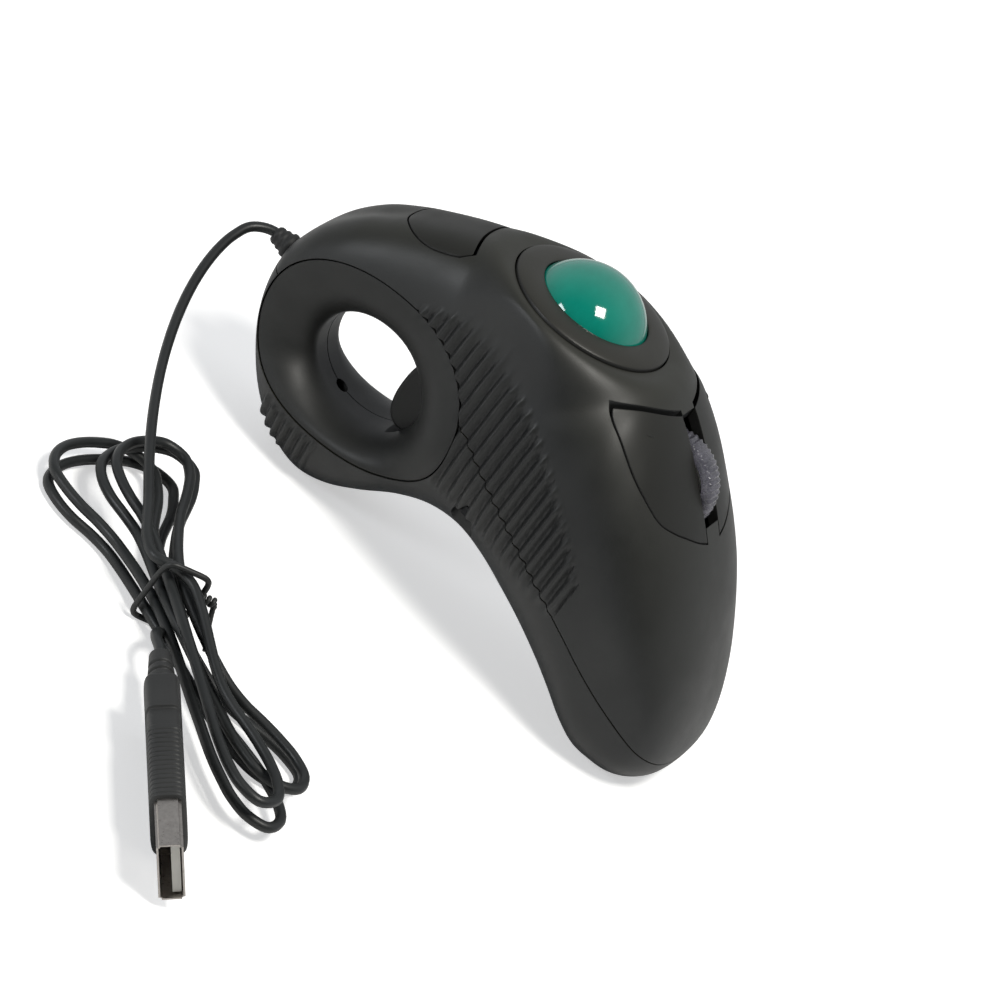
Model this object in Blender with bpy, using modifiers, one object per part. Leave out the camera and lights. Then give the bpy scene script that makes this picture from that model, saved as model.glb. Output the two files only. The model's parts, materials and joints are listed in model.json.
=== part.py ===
# Handheld finger-ring trackball mouse, as separate pieces.  Blender 4.5.
# Metres, +Z up, -Y is the front (finger ring, cable), +X is the left-hand side of the device.
# Origin: centre of the flat heel face that rests on the desk.
# Layout numbers below are millimetres from the point under the ball; P() turns them into metres.
import math
import bpy
import bmesh
import numpy as np
from mathutils import Matrix, Vector
from mathutils.bvhtree import BVHTree

MM = 0.001
HEEL_Y = 54.5            # the heel face centre, behind the ball

WALL = 2.0               # casing wall
GAP = 0.35               # gap round buttons, bezel and ring liners
SPLIT = 0.15             # half the gap along the casing parting line

BALL_R = 12.5
OPEN_Z = 65.2            # height of the ball opening's centre
OPEN_R = 11.2
TILT = math.radians(1.0) # the opening faces very slightly forward
SINK = 6.1               # ball centre below the opening plane
BEZEL_R = 16.4
BAND_R = 24.0            # where the band round the bezel has blended into the casing

RING_C = (-25.0, 29.2)   # finger ring: middle of the seam (y, z)
RING_A = (23.9, 17.6)    # half length and half height of the seam
RING_POW = 2.25          # 2 is an ellipse, more is squarer
RING_TILT = math.radians(7.0)   # the ring's rear end is raised
THROAT_C = (-24.9, 25.9) # finger hole (y, z)
THROAT_A = (12.5, 10.0)
THROAT_X = 4.0           # the liner wall runs straight up to here

WHEEL_C = (30.0, 47.6)
WHEEL_R = 10.4
SLOT_X = 3.2
BTN_X = 2.7              # inner edge of the thumb button openings

PCB_Z = 36.2
PCB_T = 1.6
CABLE_R = 1.0

# Body stations from nose to heel: top point (y, z), bottom point (y, z), half width,
# height share of the widest level, section exponent above and below it.
STATIONS = [
    (-52.0, 31.0, -52.0, 31.0, 0.0, .50, 2.6, 2.6),
    (-50.8, 37.0, -50.3, 25.0, 8.5, .50, 2.6, 2.6),
    (-48.0, 43.4, -47.5, 17.5, 11.8, .50, 2.9, 2.7),
    (-43.5, 49.0, -42.5, 9.8, 13.2, .50, 3.1, 2.8),
    (-38.2, 53.2, -37.0, 4.2, 14.0, .50, 3.2, 2.8),
    (-32.2, 57.0, -31.0, 0.6, 14.5, .50, 3.2, 2.8),
    (-26.0, 60.4, -25.0, -0.6, 15.0, .50, 3.2, 2.8),
    (-20.0, 62.9, -19.0, 1.2, 15.8, .50, 3.2, 2.8),
    (-14.0, 64.4, -13.0, 5.2, 17.2, .50, 3.1, 2.7),
    (-8.0, 65.2, -6.5, 10.6, 19.0, .49, 3.0, 2.6),
    (-2.0, 65.4, 0.0, 14.4, 21.0, .48, 2.9, 2.5),
    (4.0, 65.4, 7.0, 16.0, 23.0, .46, 2.7, 2.4),
    (10.0, 65.3, 14.0, 15.2, 24.3, .45, 2.6, 2.4),
    (16.0, 64.8, 21.0, 12.8, 25.0, .45, 2.5, 2.4),
    (21.0, 63.6, 28.0, 9.8, 25.3, .46, 2.5, 2.4),
    (26.0, 61.0, 34.5, 6.8, 25.3, .47, 2.4, 2.5),
    (31.0, 57.3, 40.0, 3.8, 25.0, .48, 2.4, 2.6),
    (36.5, 52.4, 45.0, 1.2, 24.6, .48, 2.4, 2.8),
    (42.0, 47.2, 49.5, -0.4, 23.8, .48, 2.4, 3.0),
    (47.5, 41.2, 53.5, -0.8, 22.4, .48, 2.4, 3.0),
    (53.0, 34.0, 57.5, -0.8, 20.5, .48, 2.3, 2.8),
    (58.0, 26.2, 60.8, 0.4, 18.0, .48, 2.2, 2.5),
    (62.0, 18.3, 63.3, 2.5, 14.0, .50, 2.1, 2.2),
    (64.3, 12.0, 64.6, 5.4, 8.5, .50, 2.0, 2.0),
    (65.0, 8.5, 65.0, 8.5, 0.0, .50, 2.0, 2.0),
]
# parting line of the casing, seen from the side: it rises along the nose to PART_Y, then falls to the heel
PART_Y = -1.4
PART_NOSE = 31.0
PART_RISE = 7.0


def parting_z(y):
    if y < PART_Y:
        f = max(0.0, (y + 47.0) / (PART_Y + 47.0))
        return PART_NOSE + PART_RISE * f
    d = y - PART_Y
    return PART_NOSE + PART_RISE - 0.36 * d - 0.0014 * d * d


PARTING = [(float(y), parting_z(y)) for y in (-75.0, -47.0, PART_Y)] + [(float(y), parting_z(y)) for y in np.arange(6.0, 81.0, 8.0)]


def P(x, y, z):
    return Vector((x * MM, (y - HEEL_Y) * MM, z * MM))


# ------------------------------------------------------------------ scene and helpers
for ob in list(bpy.data.objects):
    bpy.data.objects.remove(ob, do_unlink=True)

scene = bpy.context.scene
parts_col = bpy.data.collections.new("trackball_mouse")
cut_col = bpy.data.collections.new("cutters")
scene.collection.children.link(parts_col)
scene.collection.children.link(cut_col)

MATS = {}


def material(name, rgb, rough, metal=0.0, alpha=1.0):
    if name not in MATS:
        m = bpy.data.materials.new(name)
        m.use_nodes = True
        b = m.node_tree.nodes["Principled BSDF"]
        b.inputs["Base Color"].default_value = (*rgb, 1.0)
        b.inputs["Roughness"].default_value = rough
        b.inputs["Metallic"].default_value = metal
        b.inputs["Alpha"].default_value = alpha
        MATS[name] = m
    return MATS[name]


BLACK = ("satin_black_plastic", (0.016, 0.017, 0.017), 0.42)
DARK = ("matte_dark_plastic", (0.022, 0.022, 0.022), 0.6)
TEAL = ("teal_ball", (0.004, 0.33, 0.24), 0.08)
SMOKE = ("smoky_wheel", (0.12, 0.13, 0.15), 0.25)
STEEL = ("steel", (0.55, 0.55, 0.56), 0.3, 1.0)
BOARD = ("green_board", (0.01, 0.12, 0.05), 0.5)
CHIP = ("black_chip", (0.01, 0.01, 0.01), 0.5)
GREY = ("grey_plastic", (0.3, 0.3, 0.3), 0.5)
CABLE = ("black_cable", (0.017, 0.019, 0.019), 0.5)
PLUG = ("plug_metal", (0.38, 0.35, 0.32), 0.35, 1.0)
WHITE = ("white_nylon", (0.75, 0.75, 0.72), 0.5)
COPPER = ("contact_brass", (0.7, 0.5, 0.2), 0.35, 1.0)


def add(name, me, mat, col=None, smooth=40.0):
    me.materials.clear()
    me.materials.append(material(*mat))
    if smooth:
        me.shade_smooth()
        me.set_sharp_from_angle(angle=math.radians(smooth))
    ob = bpy.data.objects.new(name, me)
    (col or parts_col).objects.link(ob)
    return ob


def from_bm(name, bm):
    bmesh.ops.recalc_face_normals(bm, faces=bm.faces)
    me = bpy.data.meshes.new(name)
    bm.to_mesh(me)
    bm.free()
    return me


def place(bm, loc, direction=(0, 0, 1)):
    q = Vector(direction).to_track_quat('Z', 'Y')
    bmesh.ops.transform(bm, matrix=Matrix.Translation(loc) @ q.to_matrix().to_4x4(), verts=bm.verts)


def box_me(name, x0, x1, y0, y1, z0, z1, bevel=0.0):
    bm = bmesh.new()
    bmesh.ops.create_cube(bm, size=1.0)
    a, b = P(x0, y0, z0), P(x1, y1, z1)
    bmesh.ops.scale(bm, vec=b - a, verts=bm.verts)
    bmesh.ops.translate(bm, vec=(a + b) / 2, verts=bm.verts)
    if bevel:
        bmesh.ops.bevel(bm, geom=bm.edges[:], offset=bevel * MM, segments=1, affect='EDGES')
    return from_bm(name, bm)


def cyl_me(name, p0, p1, r, seg=20, r2=None):
    a, b = P(*p0), P(*p1)
    bm = bmesh.new()
    bmesh.ops.create_cone(bm, cap_ends=True, segments=seg, radius1=r * MM,
                          radius2=(r if r2 is None else r2) * MM, depth=(b - a).length)
    place(bm, (a + b) / 2, b - a)
    return from_bm(name, bm)


def ball_me(name, c, r, u=16, v=10):
    bm = bmesh.new()
    bmesh.ops.create_uvsphere(bm, u_segments=u, v_segments=v, radius=r * MM)
    bmesh.ops.translate(bm, vec=P(*c), verts=bm.verts)
    return from_bm(name, bm)


def turned_me(name, profile, origin, direction, steps=32):
    """closed profile of (radius, height) turned about direction through origin (mm)."""
    bm = bmesh.new()
    vs = [bm.verts.new((r * MM, 0.0, h * MM)) for r, h in profile]
    edges = [bm.edges.new((vs[i], vs[(i + 1) % len(vs)])) for i in range(len(vs))]
    bmesh.ops.spin(bm, geom=vs + edges, cent=(0, 0, 0), axis=(0, 0, 1), angle=2 * math.pi,
                   steps=steps, use_merge=True, use_normal_flip=False)
    bmesh.ops.remove_doubles(bm, verts=bm.verts, dist=1e-7)
    place(bm, P(*origin), direction)
    return from_bm(name, bm)


def prism_me(name, outline, x0, x1):
    """outline of (y, z) swept along X."""
    bm = bmesh.new()
    f = bm.faces.new([bm.verts.new(P(x0, y, z)) for y, z in outline])
    r = bmesh.ops.extrude_face_region(bm, geom=[f])
    bmesh.ops.translate(bm, vec=((x1 - x0) * MM, 0, 0),
                        verts=[g for g in r["geom"] if isinstance(g, bmesh.types.BMVert)])
    return from_bm(name, bm)


def plan_me(name, outline, z0, z1):
    """outline of (x, y) swept along Z."""
    bm = bmesh.new()
    f = bm.faces.new([bm.verts.new(P(x, y, z0)) for x, y in outline])
    r = bmesh.ops.extrude_face_region(bm, geom=[f])
    bmesh.ops.translate(bm, vec=(0, 0, (z1 - z0) * MM),
                        verts=[g for g in r["geom"] if isinstance(g, bmesh.types.BMVert)])
    return from_bm(name, bm)


def boolean(me, others, op='DIFFERENCE', solver='EXACT'):
    """me (op) each other mesh, evaluated at once; returns the new mesh."""
    ob = bpy.data.objects.new("work", me)
    cut_col.objects.link(ob)
    tools = []
    for i, o in enumerate(others):
        t = bpy.data.objects.new("cutter_" + o.name, o)
        t.hide_render = True
        t.display_type = 'WIRE'
        cut_col.objects.link(t)
        tools.append(t)
        m = ob.modifiers.new("b%d" % i, 'BOOLEAN')
        m.operation = op
        m.solver = solver
        m.object = t
    dg = bpy.context.evaluated_depsgraph_get()
    dg.update()
    out = bpy.data.meshes.new_from_object(ob.evaluated_get(dg))
    for t in [ob] + tools:
        bpy.data.objects.remove(t, do_unlink=True)
    bm = bmesh.new()
    bm.from_mesh(out)
    bmesh.ops.remove_doubles(bm, verts=bm.verts, dist=2e-6)
    bmesh.ops.dissolve_degenerate(bm, edges=bm.edges, dist=1e-6)
    bm.to_mesh(out)
    bm.free()
    return out


def keep_largest(me):
    """keep the biggest of the loose bodies (a clean cut leaves one)."""
    bm = bmesh.new()
    bm.from_mesh(me)
    bm.verts.ensure_lookup_table()
    seen, best = set(), []
    for v in bm.verts:
        if v in seen:
            continue
        stack, group = [v], []
        seen.add(v)
        while stack:
            w = stack.pop()
            group.append(w)
            for e in w.link_edges:
                o = e.other_vert(w)
                if o not in seen:
                    seen.add(o)
                    stack.append(o)
        if len(group) > len(best):
            best = group
    keep = set(best)
    bmesh.ops.delete(bm, geom=[v for v in bm.verts if v not in keep], context='VERTS')
    bm.to_mesh(me)
    bm.free()
    return me


def copy(me, name):
    c = me.copy()
    c.name = name
    return c


def tube_me(name, pts, r, res=1, close=False):
    """round tube through pts (world metres): poly curve, capped, welded."""
    cu = bpy.data.curves.new(name, 'CURVE')
    cu.dimensions = '3D'
    cu.bevel_depth = r * MM
    cu.bevel_resolution = res
    cu.use_fill_caps = True
    cu.twist_mode = 'MINIMUM'
    sp = cu.splines.new('POLY')
    sp.points.add(len(pts) - 1)
    for i, p in enumerate(pts):
        sp.points[i].co = (*p, 1.0)
    sp.use_cyclic_u = close
    ob = bpy.data.objects.new(name, cu)
    cut_col.objects.link(ob)
    dg = bpy.context.evaluated_depsgraph_get()
    dg.update()
    me = bpy.data.meshes.new_from_object(ob.evaluated_get(dg))
    bpy.data.objects.remove(ob, do_unlink=True)
    bm = bmesh.new()
    bm.from_mesh(me)
    bmesh.ops.remove_doubles(bm, verts=bm.verts, dist=1e-6)
    return from_bm(name, bm)


def spline(ctrl, step):
    """Catmull-Rom through control points (mm), resampled at about `step` mm."""
    c = np.array(ctrl, float)
    c = np.vstack([2 * c[0] - c[1], c, 2 * c[-1] - c[-2]])
    fine = []
    for i in range(1, len(c) - 2):
        for k in range(24):
            t = k / 24.0
            a, b, d, e = c[i - 1], c[i], c[i + 1], c[i + 2]
            # centripetal knots keep the path free of loops where points are uneven
            t0 = 0.0
            t1 = t0 + max(np.linalg.norm(b - a), 1e-6) ** .5
            t2 = t1 + max(np.linalg.norm(d - b), 1e-6) ** .5
            t3 = t2 + max(np.linalg.norm(e - d), 1e-6) ** .5
            u = t1 + (t2 - t1) * t
            a1 = (t1 - u) / (t1 - t0) * a + (u - t0) / (t1 - t0) * b
            a2 = (t2 - u) / (t2 - t1) * b + (u - t1) / (t2 - t1) * d
            a3 = (t3 - u) / (t3 - t2) * d + (u - t2) / (t3 - t2) * e
            b1 = (t2 - u) / (t2 - t0) * a1 + (u - t0) / (t2 - t0) * a2
            b2 = (t3 - u) / (t3 - t1) * a2 + (u - t1) / (t3 - t1) * a3
            fine.append((t2 - u) / (t2 - t1) * b1 + (u - t1) / (t2 - t1) * b2)
    fine.append(c[-2])
    fine = np.array(fine)
    s = np.concatenate([[0], np.cumsum(np.linalg.norm(np.diff(fine, axis=0), axis=1))])
    n = max(2, int(round(s[-1] / step)) + 1)
    t = np.linspace(0, s[-1], n)
    return np.stack([np.interp(t, s, fine[:, k]) for k in range(3)], 1)


# ------------------------------------------------------------------ body shape
S = np.array(STATIONS)
OPEN_N = np.array([0.0, -math.sin(TILT), math.cos(TILT)])
OPEN_C = np.array([0.0, 0.0, OPEN_Z])
BALL_C = OPEN_C - SINK * OPEN_N


def smoothstep(t):
    t = np.clip(t, 0.0, 1.0)
    return t * t * (3 - 2 * t)


def station_rows(t):
    g0 = S[1].copy()
    g0[[0, 1, 2, 3]] = S[1][[2, 3, 0, 1]]
    g0[4] = -S[1][4]
    g1 = S[-2].copy()
    g1[[0, 1, 2, 3]] = S[-2][[2, 3, 0, 1]]
    g1[4] = -S[-2][4]
    rows = np.vstack([g0, S, g1])
    i = np.clip(np.floor(t).astype(int), 0, len(rows) - 4)
    f = (t - i)[:, None]
    a, b, c, d = rows[i], rows[i + 1], rows[i + 2], rows[i + 3]
    return .5 * ((2 * b) + (-a + c) * f + (2 * a - 5 * b + 4 * c - d) * f * f
                 + (-a + 3 * b - 3 * c + d) * f ** 3)


def body_grid(ts, na):
    """outer surface points (len(ts), na, 3) in mm; the first and last rows are poles."""
    q = station_rows(np.asarray(ts, float))
    th = np.linspace(0, 2 * math.pi, na, endpoint=False)
    ct, st = np.cos(th)[None, :], np.sin(th)[None, :]
    top, bot = q[:, None, 0:2], q[:, None, 2:4]
    mid = bot + (top - bot) * q[:, None, 5:6]
    p = np.where(st >= 0, q[:, 6:7], q[:, 7:8])
    x = q[:, 4:5] * np.sign(ct) * np.abs(ct) ** (2 / p)
    h = (np.abs(st) ** (2 / p))[..., None]
    yz = mid + np.where(st[..., None] >= 0, top - mid, bot - mid) * h
    g = np.concatenate([x[..., None], yz], -1)
    up = np.clip(st, 0, 1) ** .5
    # shallow valley between two crests at the front of the top
    win = smoothstep((g[..., 1] + 51) / 5) * (1 - smoothstep((g[..., 1] + 42) / 8))
    g[..., 2] -= 0.9 * np.exp(-(g[..., 0] / 4.5) ** 2) * win * up
    # band round the bezel: the casing flattens to a plane just under the bezel rim
    d = g - OPEN_C
    hh = d @ OPEN_N
    rho = np.linalg.norm(d - hh[..., None] * OPEN_N, axis=-1)
    w = (1 - smoothstep((rho - 17.2) / (BAND_R - 17.2))) * np.where((st > 0.05) & (hh > -14), 1.0, 0.0)
    g += (w * (-1.5 - hh))[..., None] * OPEN_N
    g[..., 2] = np.maximum(g[..., 2], 0.0)      # flat feet under the ring and the heel
    return g


def grid_normals(g):
    n = len(g)
    du = np.gradient(g, axis=0)
    dv = (np.roll(g, -1, 1) - np.roll(g, 1, 1))
    nn = np.cross(dv, du)
    nn[0] = (0, -1, 0)
    nn[-1] = (0, 1, -.2)
    nn /= np.maximum(np.linalg.norm(nn, axis=-1, keepdims=True), 1e-9)
    # outward: away from the section's middle
    mid = g.mean(1, keepdims=True)
    sgn = np.sign(((g - mid) * nn).sum(-1, keepdims=True))
    sgn[0] = sgn[-1] = 1
    return nn * np.where(sgn == 0, 1, sgn)


def grid_bm(g):
    """closed loft between unlike sections: one pole vertex at each end."""
    bm = bmesh.new()
    n, m = g.shape[:2]
    rows = [[bm.verts.new(P(*g[i, j])) for j in range(m)] for i in range(1, n - 1)]
    a, b = bm.verts.new(P(*g[0, 0])), bm.verts.new(P(*g[-1, 0]))
    for j in range(m):
        k = (j + 1) % m
        bm.faces.new((a, rows[0][j], rows[0][k]))
        bm.faces.new((b, rows[-1][k], rows[-1][j]))
        for i in range(len(rows) - 1):
            bm.faces.new((rows[i][j], rows[i + 1][j], rows[i + 1][k], rows[i][k]))
    bmesh.ops.triangulate(bm, faces=bm.faces[:])
    return bm


T_OUT = np.concatenate([[0, .6], np.arange(1, 22.6, 1.08), [23.2, 24.0]])
G_OUT = body_grid(T_OUT, 32)
T_IN = np.concatenate([[0], np.arange(1, 22.6, 1.8), [24.0]])
G_IN = body_grid(T_IN, 20)
G_IN = G_IN - WALL * grid_normals(G_IN)
G_IN[..., 2] = np.maximum(G_IN[..., 2], WALL)
outer_me = from_bm("body_outer", grid_bm(G_OUT))
inner_me = from_bm("body_inner", grid_bm(G_IN))
hollow = boolean(copy(outer_me, "hollow"), [inner_me])

bvh_bm = bmesh.new()
bvh_bm.from_mesh(outer_me)
BODY = BVHTree.FromBMesh(bvh_bm)


def floor_z(x, y, r):
    """highest underside point over a round footprint (mm)."""
    zs = []
    for k in range(8):
        h = BODY.ray_cast(P(x + r * math.cos(k * math.pi / 4), y + r * math.sin(k * math.pi / 4), -20), Vector((0, 0, 1)))
        if h[0] is not None:
            zs.append(h[0].z / MM)
    return max(zs)


def roof_z(x, y, r):
    """lowest top-side point over a round footprint (mm)."""
    return min(top_z(x + r * math.cos(k * math.pi / 4), y + r * math.sin(k * math.pi / 4)) for k in range(8))


def side_x(y, z):
    """half width of the body at a side-view point (mm)."""
    hit = BODY.ray_cast(P(60, y, z), Vector((-1, 0, 0)))
    return hit[0].x / MM if hit[0] is not None else 11.0


def top_z(x, y):
    hit = BODY.ray_cast(P(x, y, 90), Vector((0, 0, -1)))
    return hit[0].z / MM


# ------------------------------------------------------------------ cutters' outlines
def ring_outline(grow, n=36):
    """the ring's seam, evenly spaced and moved outwards by grow (y, z)."""
    ca, sa = math.cos(RING_TILT), math.sin(RING_TILT)
    fine = []
    for k in range(240):
        t = 2 * math.pi * k / 240
        a = math.copysign(abs(math.cos(t)) ** (2 / RING_POW), math.cos(t)) * RING_A[0]
        b = math.copysign(abs(math.sin(t)) ** (2 / RING_POW), math.sin(t)) * RING_A[1]
        fine.append(np.array([RING_C[0] + ca * a - sa * b, RING_C[1] + sa * a + ca * b]))
    fine = np.array(fine + [fine[0]])
    s = np.concatenate([[0], np.cumsum(np.linalg.norm(np.diff(fine, axis=0), axis=1))])
    t = np.arange(n) * s[-1] / n
    q = np.stack([np.interp(t, s, fine[:, k]) for k in range(2)], 1)
    g = np.roll(q, -1, 0) - np.roll(q, 1, 0)
    g /= np.linalg.norm(g, axis=1, keepdims=True)
    return [tuple(v) for v in q + grow * np.stack([g[:, 1], -g[:, 0]], 1)]


def parted(shift, down):
    line = [(y, z + shift) for y, z in PARTING]
    far = -20.0 if down else 110.0
    return line + [(line[-1][0], far), (line[0][0], far)]


def arc(cx, cy, r, a0, a1, n):
    return [(cx + r * math.cos(math.radians(a0 + (a1 - a0) * k / (n - 1))),
             cy + r * math.sin(math.radians(a0 + (a1 - a0) * k / (n - 1)))) for k in range(n)]


def offset_outline(pts, d):
    """shrink (d>0) a convex-ish outline of (x, y), counter-clockwise."""
    n, out = len(pts), []
    for i in range(n):
        a, b, c = (np.array(pts[k % n]) for k in (i - 1, i, i + 1))
        e1, e2 = b - a, c - b
        n1 = np.array([-e1[1], e1[0]]) / np.linalg.norm(e1)
        n2 = np.array([-e2[1], e2[0]]) / np.linalg.norm(e2)
        m = n1 + n2
        m /= np.linalg.norm(m)
        out.append(tuple(b + m * d / max(0.5, m @ n1)))
    return out


def rear_outline(front):
    """left thumb button in plan (x, y), counter-clockwise; front moves its front edge back."""
    edge = []
    for k in range(7):
        f = k / 6.0
        a = math.radians(42.8 + 2.4 * front + (83.8 - 42.8 - 2.4 * front) * f)
        r = 22.6 + 2.3 * f + front
        edge.append((r * math.cos(a), r * math.sin(a)))
    edge[-1] = (BTN_X, edge[-1][1])
    return edge[::-1] + [(17.5, 16.9 + .5 * front), (18.3, 19.4), (19.1, 24.7), (18.5, 30.4), (16.4, 36.2), (13.4, 39.3), (9.7, 41.6), (6.2, 43.2), (BTN_X, 44.2)]


def mirrored(outline):
    return [(-x, y) for x, y in outline][::-1]


REAR_BTN = rear_outline(0.0)
REAR_CAP = rear_outline(0.75)            # the front edge swings forward as the button is pressed
FRONT_REAR_R = 23.3 + GAP + .25
FRONT_HALF, FRONT_Y, FRONT_LONG = 10.4, -25.5, 12.0     # half width, where the sides begin to round, length of the round
FRONT_SIDE = [(FRONT_HALF - .1, -23.4)] + [(FRONT_HALF * math.cos(math.radians(15.0 * k)) ** .91,
                                            FRONT_Y - FRONT_LONG * math.sin(math.radians(15.0 * k)) ** .91) for k in range(6)] + [(0.0, FRONT_Y - FRONT_LONG)]
FRONT_BTN = arc(0, 0, 23.3, 293.0, 247.0, 9) + [(-x, y) for x, y in FRONT_SIDE] + FRONT_SIDE[-2::-1]


# ------------------------------------------------------------------ casing
ring_cut = prism_me("ring_cut", ring_outline(0.0), -40, 40)
bezel_cut = cyl_me("bezel_cut", tuple(OPEN_C - 9 * OPEN_N), tuple(OPEN_C + 9 * OPEN_N), BEZEL_R + GAP, 28)
boot_cut = cyl_me("boot_cut", (0, -60, 31), (0, -44, 31), 2.45, 20)
left_hole = plan_me("left_hole", REAR_BTN, 30, 90)
right_hole = plan_me("right_hole", mirrored(REAR_BTN), 30, 90)
front_hole = plan_me("front_hole", FRONT_BTN, 44, 90)
slot_cut = plan_me("slot_cut", [(-SLOT_X, 25.6), (SLOT_X, 25.6), (SLOT_X, 42.0), (-SLOT_X, 42.0)], 42, 90)

upper = boolean(copy(hollow, "upper"), [prism_me("up_cut", parted(-SPLIT + 2 * SPLIT, True), -45, 45), ring_cut,
                                        bezel_cut, boot_cut, left_hole, right_hole, front_hole, slot_cut])
lower = boolean(copy(hollow, "lower"), [prism_me("low_cut", parted(-SPLIT, False), -45, 45), ring_cut, boot_cut])
upper = keep_largest(upper)
lower = keep_largest(lower)

# screw posts: the lower ones are counterbored from below, the upper ones take the threads
SCREWS = [(0.0, 47.5), (18.0, 8.0), (-18.0, 8.0)]
skin_me = from_bm("skin", grid_bm(G_OUT - 0.6 * grid_normals(G_OUT)))
for k, (sx, sy) in enumerate(SCREWS):
    down = BODY.ray_cast(P(sx, sy, -20), Vector((0, 0, 1)))[0].z / MM
    up = top_z(sx, sy)
    split = 14.6 if k == 0 else 30.0
    post_lo = boolean(cyl_me("post_lo", (sx, sy, down - 4), (sx, sy, split), 3.4, 16), [copy(skin_me, "skin_in")], 'INTERSECT')
    lower = boolean(lower, [post_lo], 'UNION')
    lower = boolean(lower, [cyl_me("bore_lo", (sx, sy, -3), (sx, sy, split + 3), 1.6, 14),
                            cyl_me("cbore_lo", (sx, sy, -3), (sx, sy, down + 5.0), 2.9, 16)])
    post_up = cyl_me("post_up", (sx, sy, split + (.4 if k == 0 else 3.6)), (sx, sy, roof_z(sx, sy, 2.6) - .6), 2.6, 16)
    upper = boolean(upper, [post_up], 'UNION')
    upper = boolean(upper, [cyl_me("bore_up", (sx, sy, split - 3), (sx, sy, split + 12), 1.6, 14)])
    # screw: pan head in the counterbore, shank up into the upper post
    head = cyl_me("head", (sx, sy, down + 2.9), (sx, sy, down + 4.7), 2.6, 16)
    shank = cyl_me("shank", (sx, sy, down + 4.2), (sx, sy, split + 9.5), 1.3, 12)
    s = boolean(head, [shank], 'UNION')
    s = boolean(s, [box_me("x1", sx - 1.5, sx + 1.5, sy - .3, sy + .3, down + 2.0, down + 3.8),
                    box_me("x2", sx - .3, sx + .3, sy - 1.5, sy + 1.5, down + 2.0, down + 3.8)])
    add(("casing_screw_rear", "casing_screw_left", "casing_screw_right")[k], s, STEEL)

add("upper_shell", upper, BLACK)
add("lower_shell", lower, BLACK)

# ------------------------------------------------------------------ buttons: skin of the casing plus a post
def button(name, outline, post, plunger_top):
    cap = boolean(copy(hollow, name), [plan_me("keep", offset_outline(outline, GAP), 44 if "front" in name else 30, 90)],
                  'INTERSECT')
    if "front" in name:
        cap = boolean(cap, [cyl_me("swing", (0, 0, 20), (0, 0, 95), FRONT_REAR_R, 72)])
    cap = keep_largest(cap)
    px, py, pr = post
    top = top_z(px, py) - 1.0
    stem = cyl_me("stem", (px, py, plunger_top + .3), (px, py, top), pr, 12)
    cap = boolean(cap, [stem], 'UNION')
    ob = add(name, cap, BLACK)
    hy, hz = FRONT_HINGE if "front" in name else REAR_HINGE
    c = P(px, hy, hz)
    cap.transform(Matrix.Translation(-c))
    ob.location = c
    return ob


SW_H = 4.0
PLUNGE = 1.2
REAR_HINGE = (44.4, 44.4)     # rear buttons tip about their rear edge
FRONT_HINGE = (-38.6, 52.2)   # the front button tips about its front end
PCB_TOP = PCB_Z + PCB_T + 0.05
REAR_POST_Y = 23.6
button("button_left", REAR_CAP, (12.5, REAR_POST_Y, 1.7), PCB_TOP + SW_H + PLUNGE)
button("button_right", mirrored(REAR_CAP), (-12.5, REAR_POST_Y, 1.7), PCB_TOP + SW_H + PLUNGE)
FPCB_Z = 46.4
front_top = FPCB_Z + 1.25
button("button_front", FRONT_BTN, (0.0, -26.5, 1.6), front_top + SW_H + PLUNGE)


# ------------------------------------------------------------------ ring liners
def liner(name, side):
    n, m = 36, 5
    rows = []
    for q in ring_outline(-GAP, n):
        e = np.array(q)
        a = math.atan2((e[1] - RING_C[1]) / 18.0, (e[0] - RING_C[0]) / 24.0)
        t = np.array([THROAT_C[0] + THROAT_A[0] * math.cos(a), THROAT_C[1] + THROAT_A[1] * math.sin(a)])
        xs = side_x(*(e + (e - RING_C) / np.linalg.norm(e - RING_C) * 0.3)) - 0.25
        row = []
        for j in range(m + 1):
            f = math.radians(90.0 * j / m)
            yz = e + (t - e) * math.sin(f)
            row.append((THROAT_X + (xs - THROAT_X) * math.cos(f), yz[0], yz[1]))
        row.append((0.17, t[0], t[1]))
        rows.append(row)
    bm = bmesh.new()
    vs = [[bm.verts.new(P(side * p[0], p[1], p[2])) for p in row] for row in rows]
    for k in range(n):
        for j in range(m + 1):
            q = (vs[k][j], vs[(k + 1) % n][j], vs[(k + 1) % n][j + 1], vs[k][j + 1])
            bm.faces.new(q if side > 0 else q[::-1])
    me = bpy.data.meshes.new(name)
    bm.to_mesh(me)
    bm.free()
    ob = bpy.data.objects.new("work", me)
    cut_col.objects.link(ob)
    md = ob.modifiers.new("s", 'SOLIDIFY')
    md.thickness = 1.6 * MM
    md.offset = -1.0
    dg = bpy.context.evaluated_depsgraph_get()
    dg.update()
    out = bpy.data.meshes.new_from_object(ob.evaluated_get(dg))
    bpy.data.objects.remove(ob, do_unlink=True)
    bm = bmesh.new()
    bm.from_mesh(out)
    out = from_bm(name, bm)
    # keep each half on its own side of the mid-plane
    out = boolean(out, [prism_me("ring_room", ring_outline(-GAP + .03), -40, 40)], 'INTERSECT')
    far = box_me("far", *( (-60, 0.15) if side > 0 else (-0.15, 60) ), -80, 20, -20, 90)
    out = boolean(out, [far])
    lug = box_me("lug", *sorted((side * 7.3, side * 8.9)), -13.4, -6.4, 31.6, 40.6)
    out = boolean(out, [lug], 'UNION')
    out = boolean(out, [cyl_me("lug_bore", (side * 6, -8.5, 38.2), (side * 10, -8.5, 38.2), 1.08, 16),
                        box_me("slot", -6.7, 6.7, -19.6, -4.0, 18.9, 39.4)])
    return keep_largest(out)


add("ring_liner_left", liner("ring_liner_left", 1), DARK)
add("ring_liner_right", liner("ring_liner_right", -1), DARK)

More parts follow.
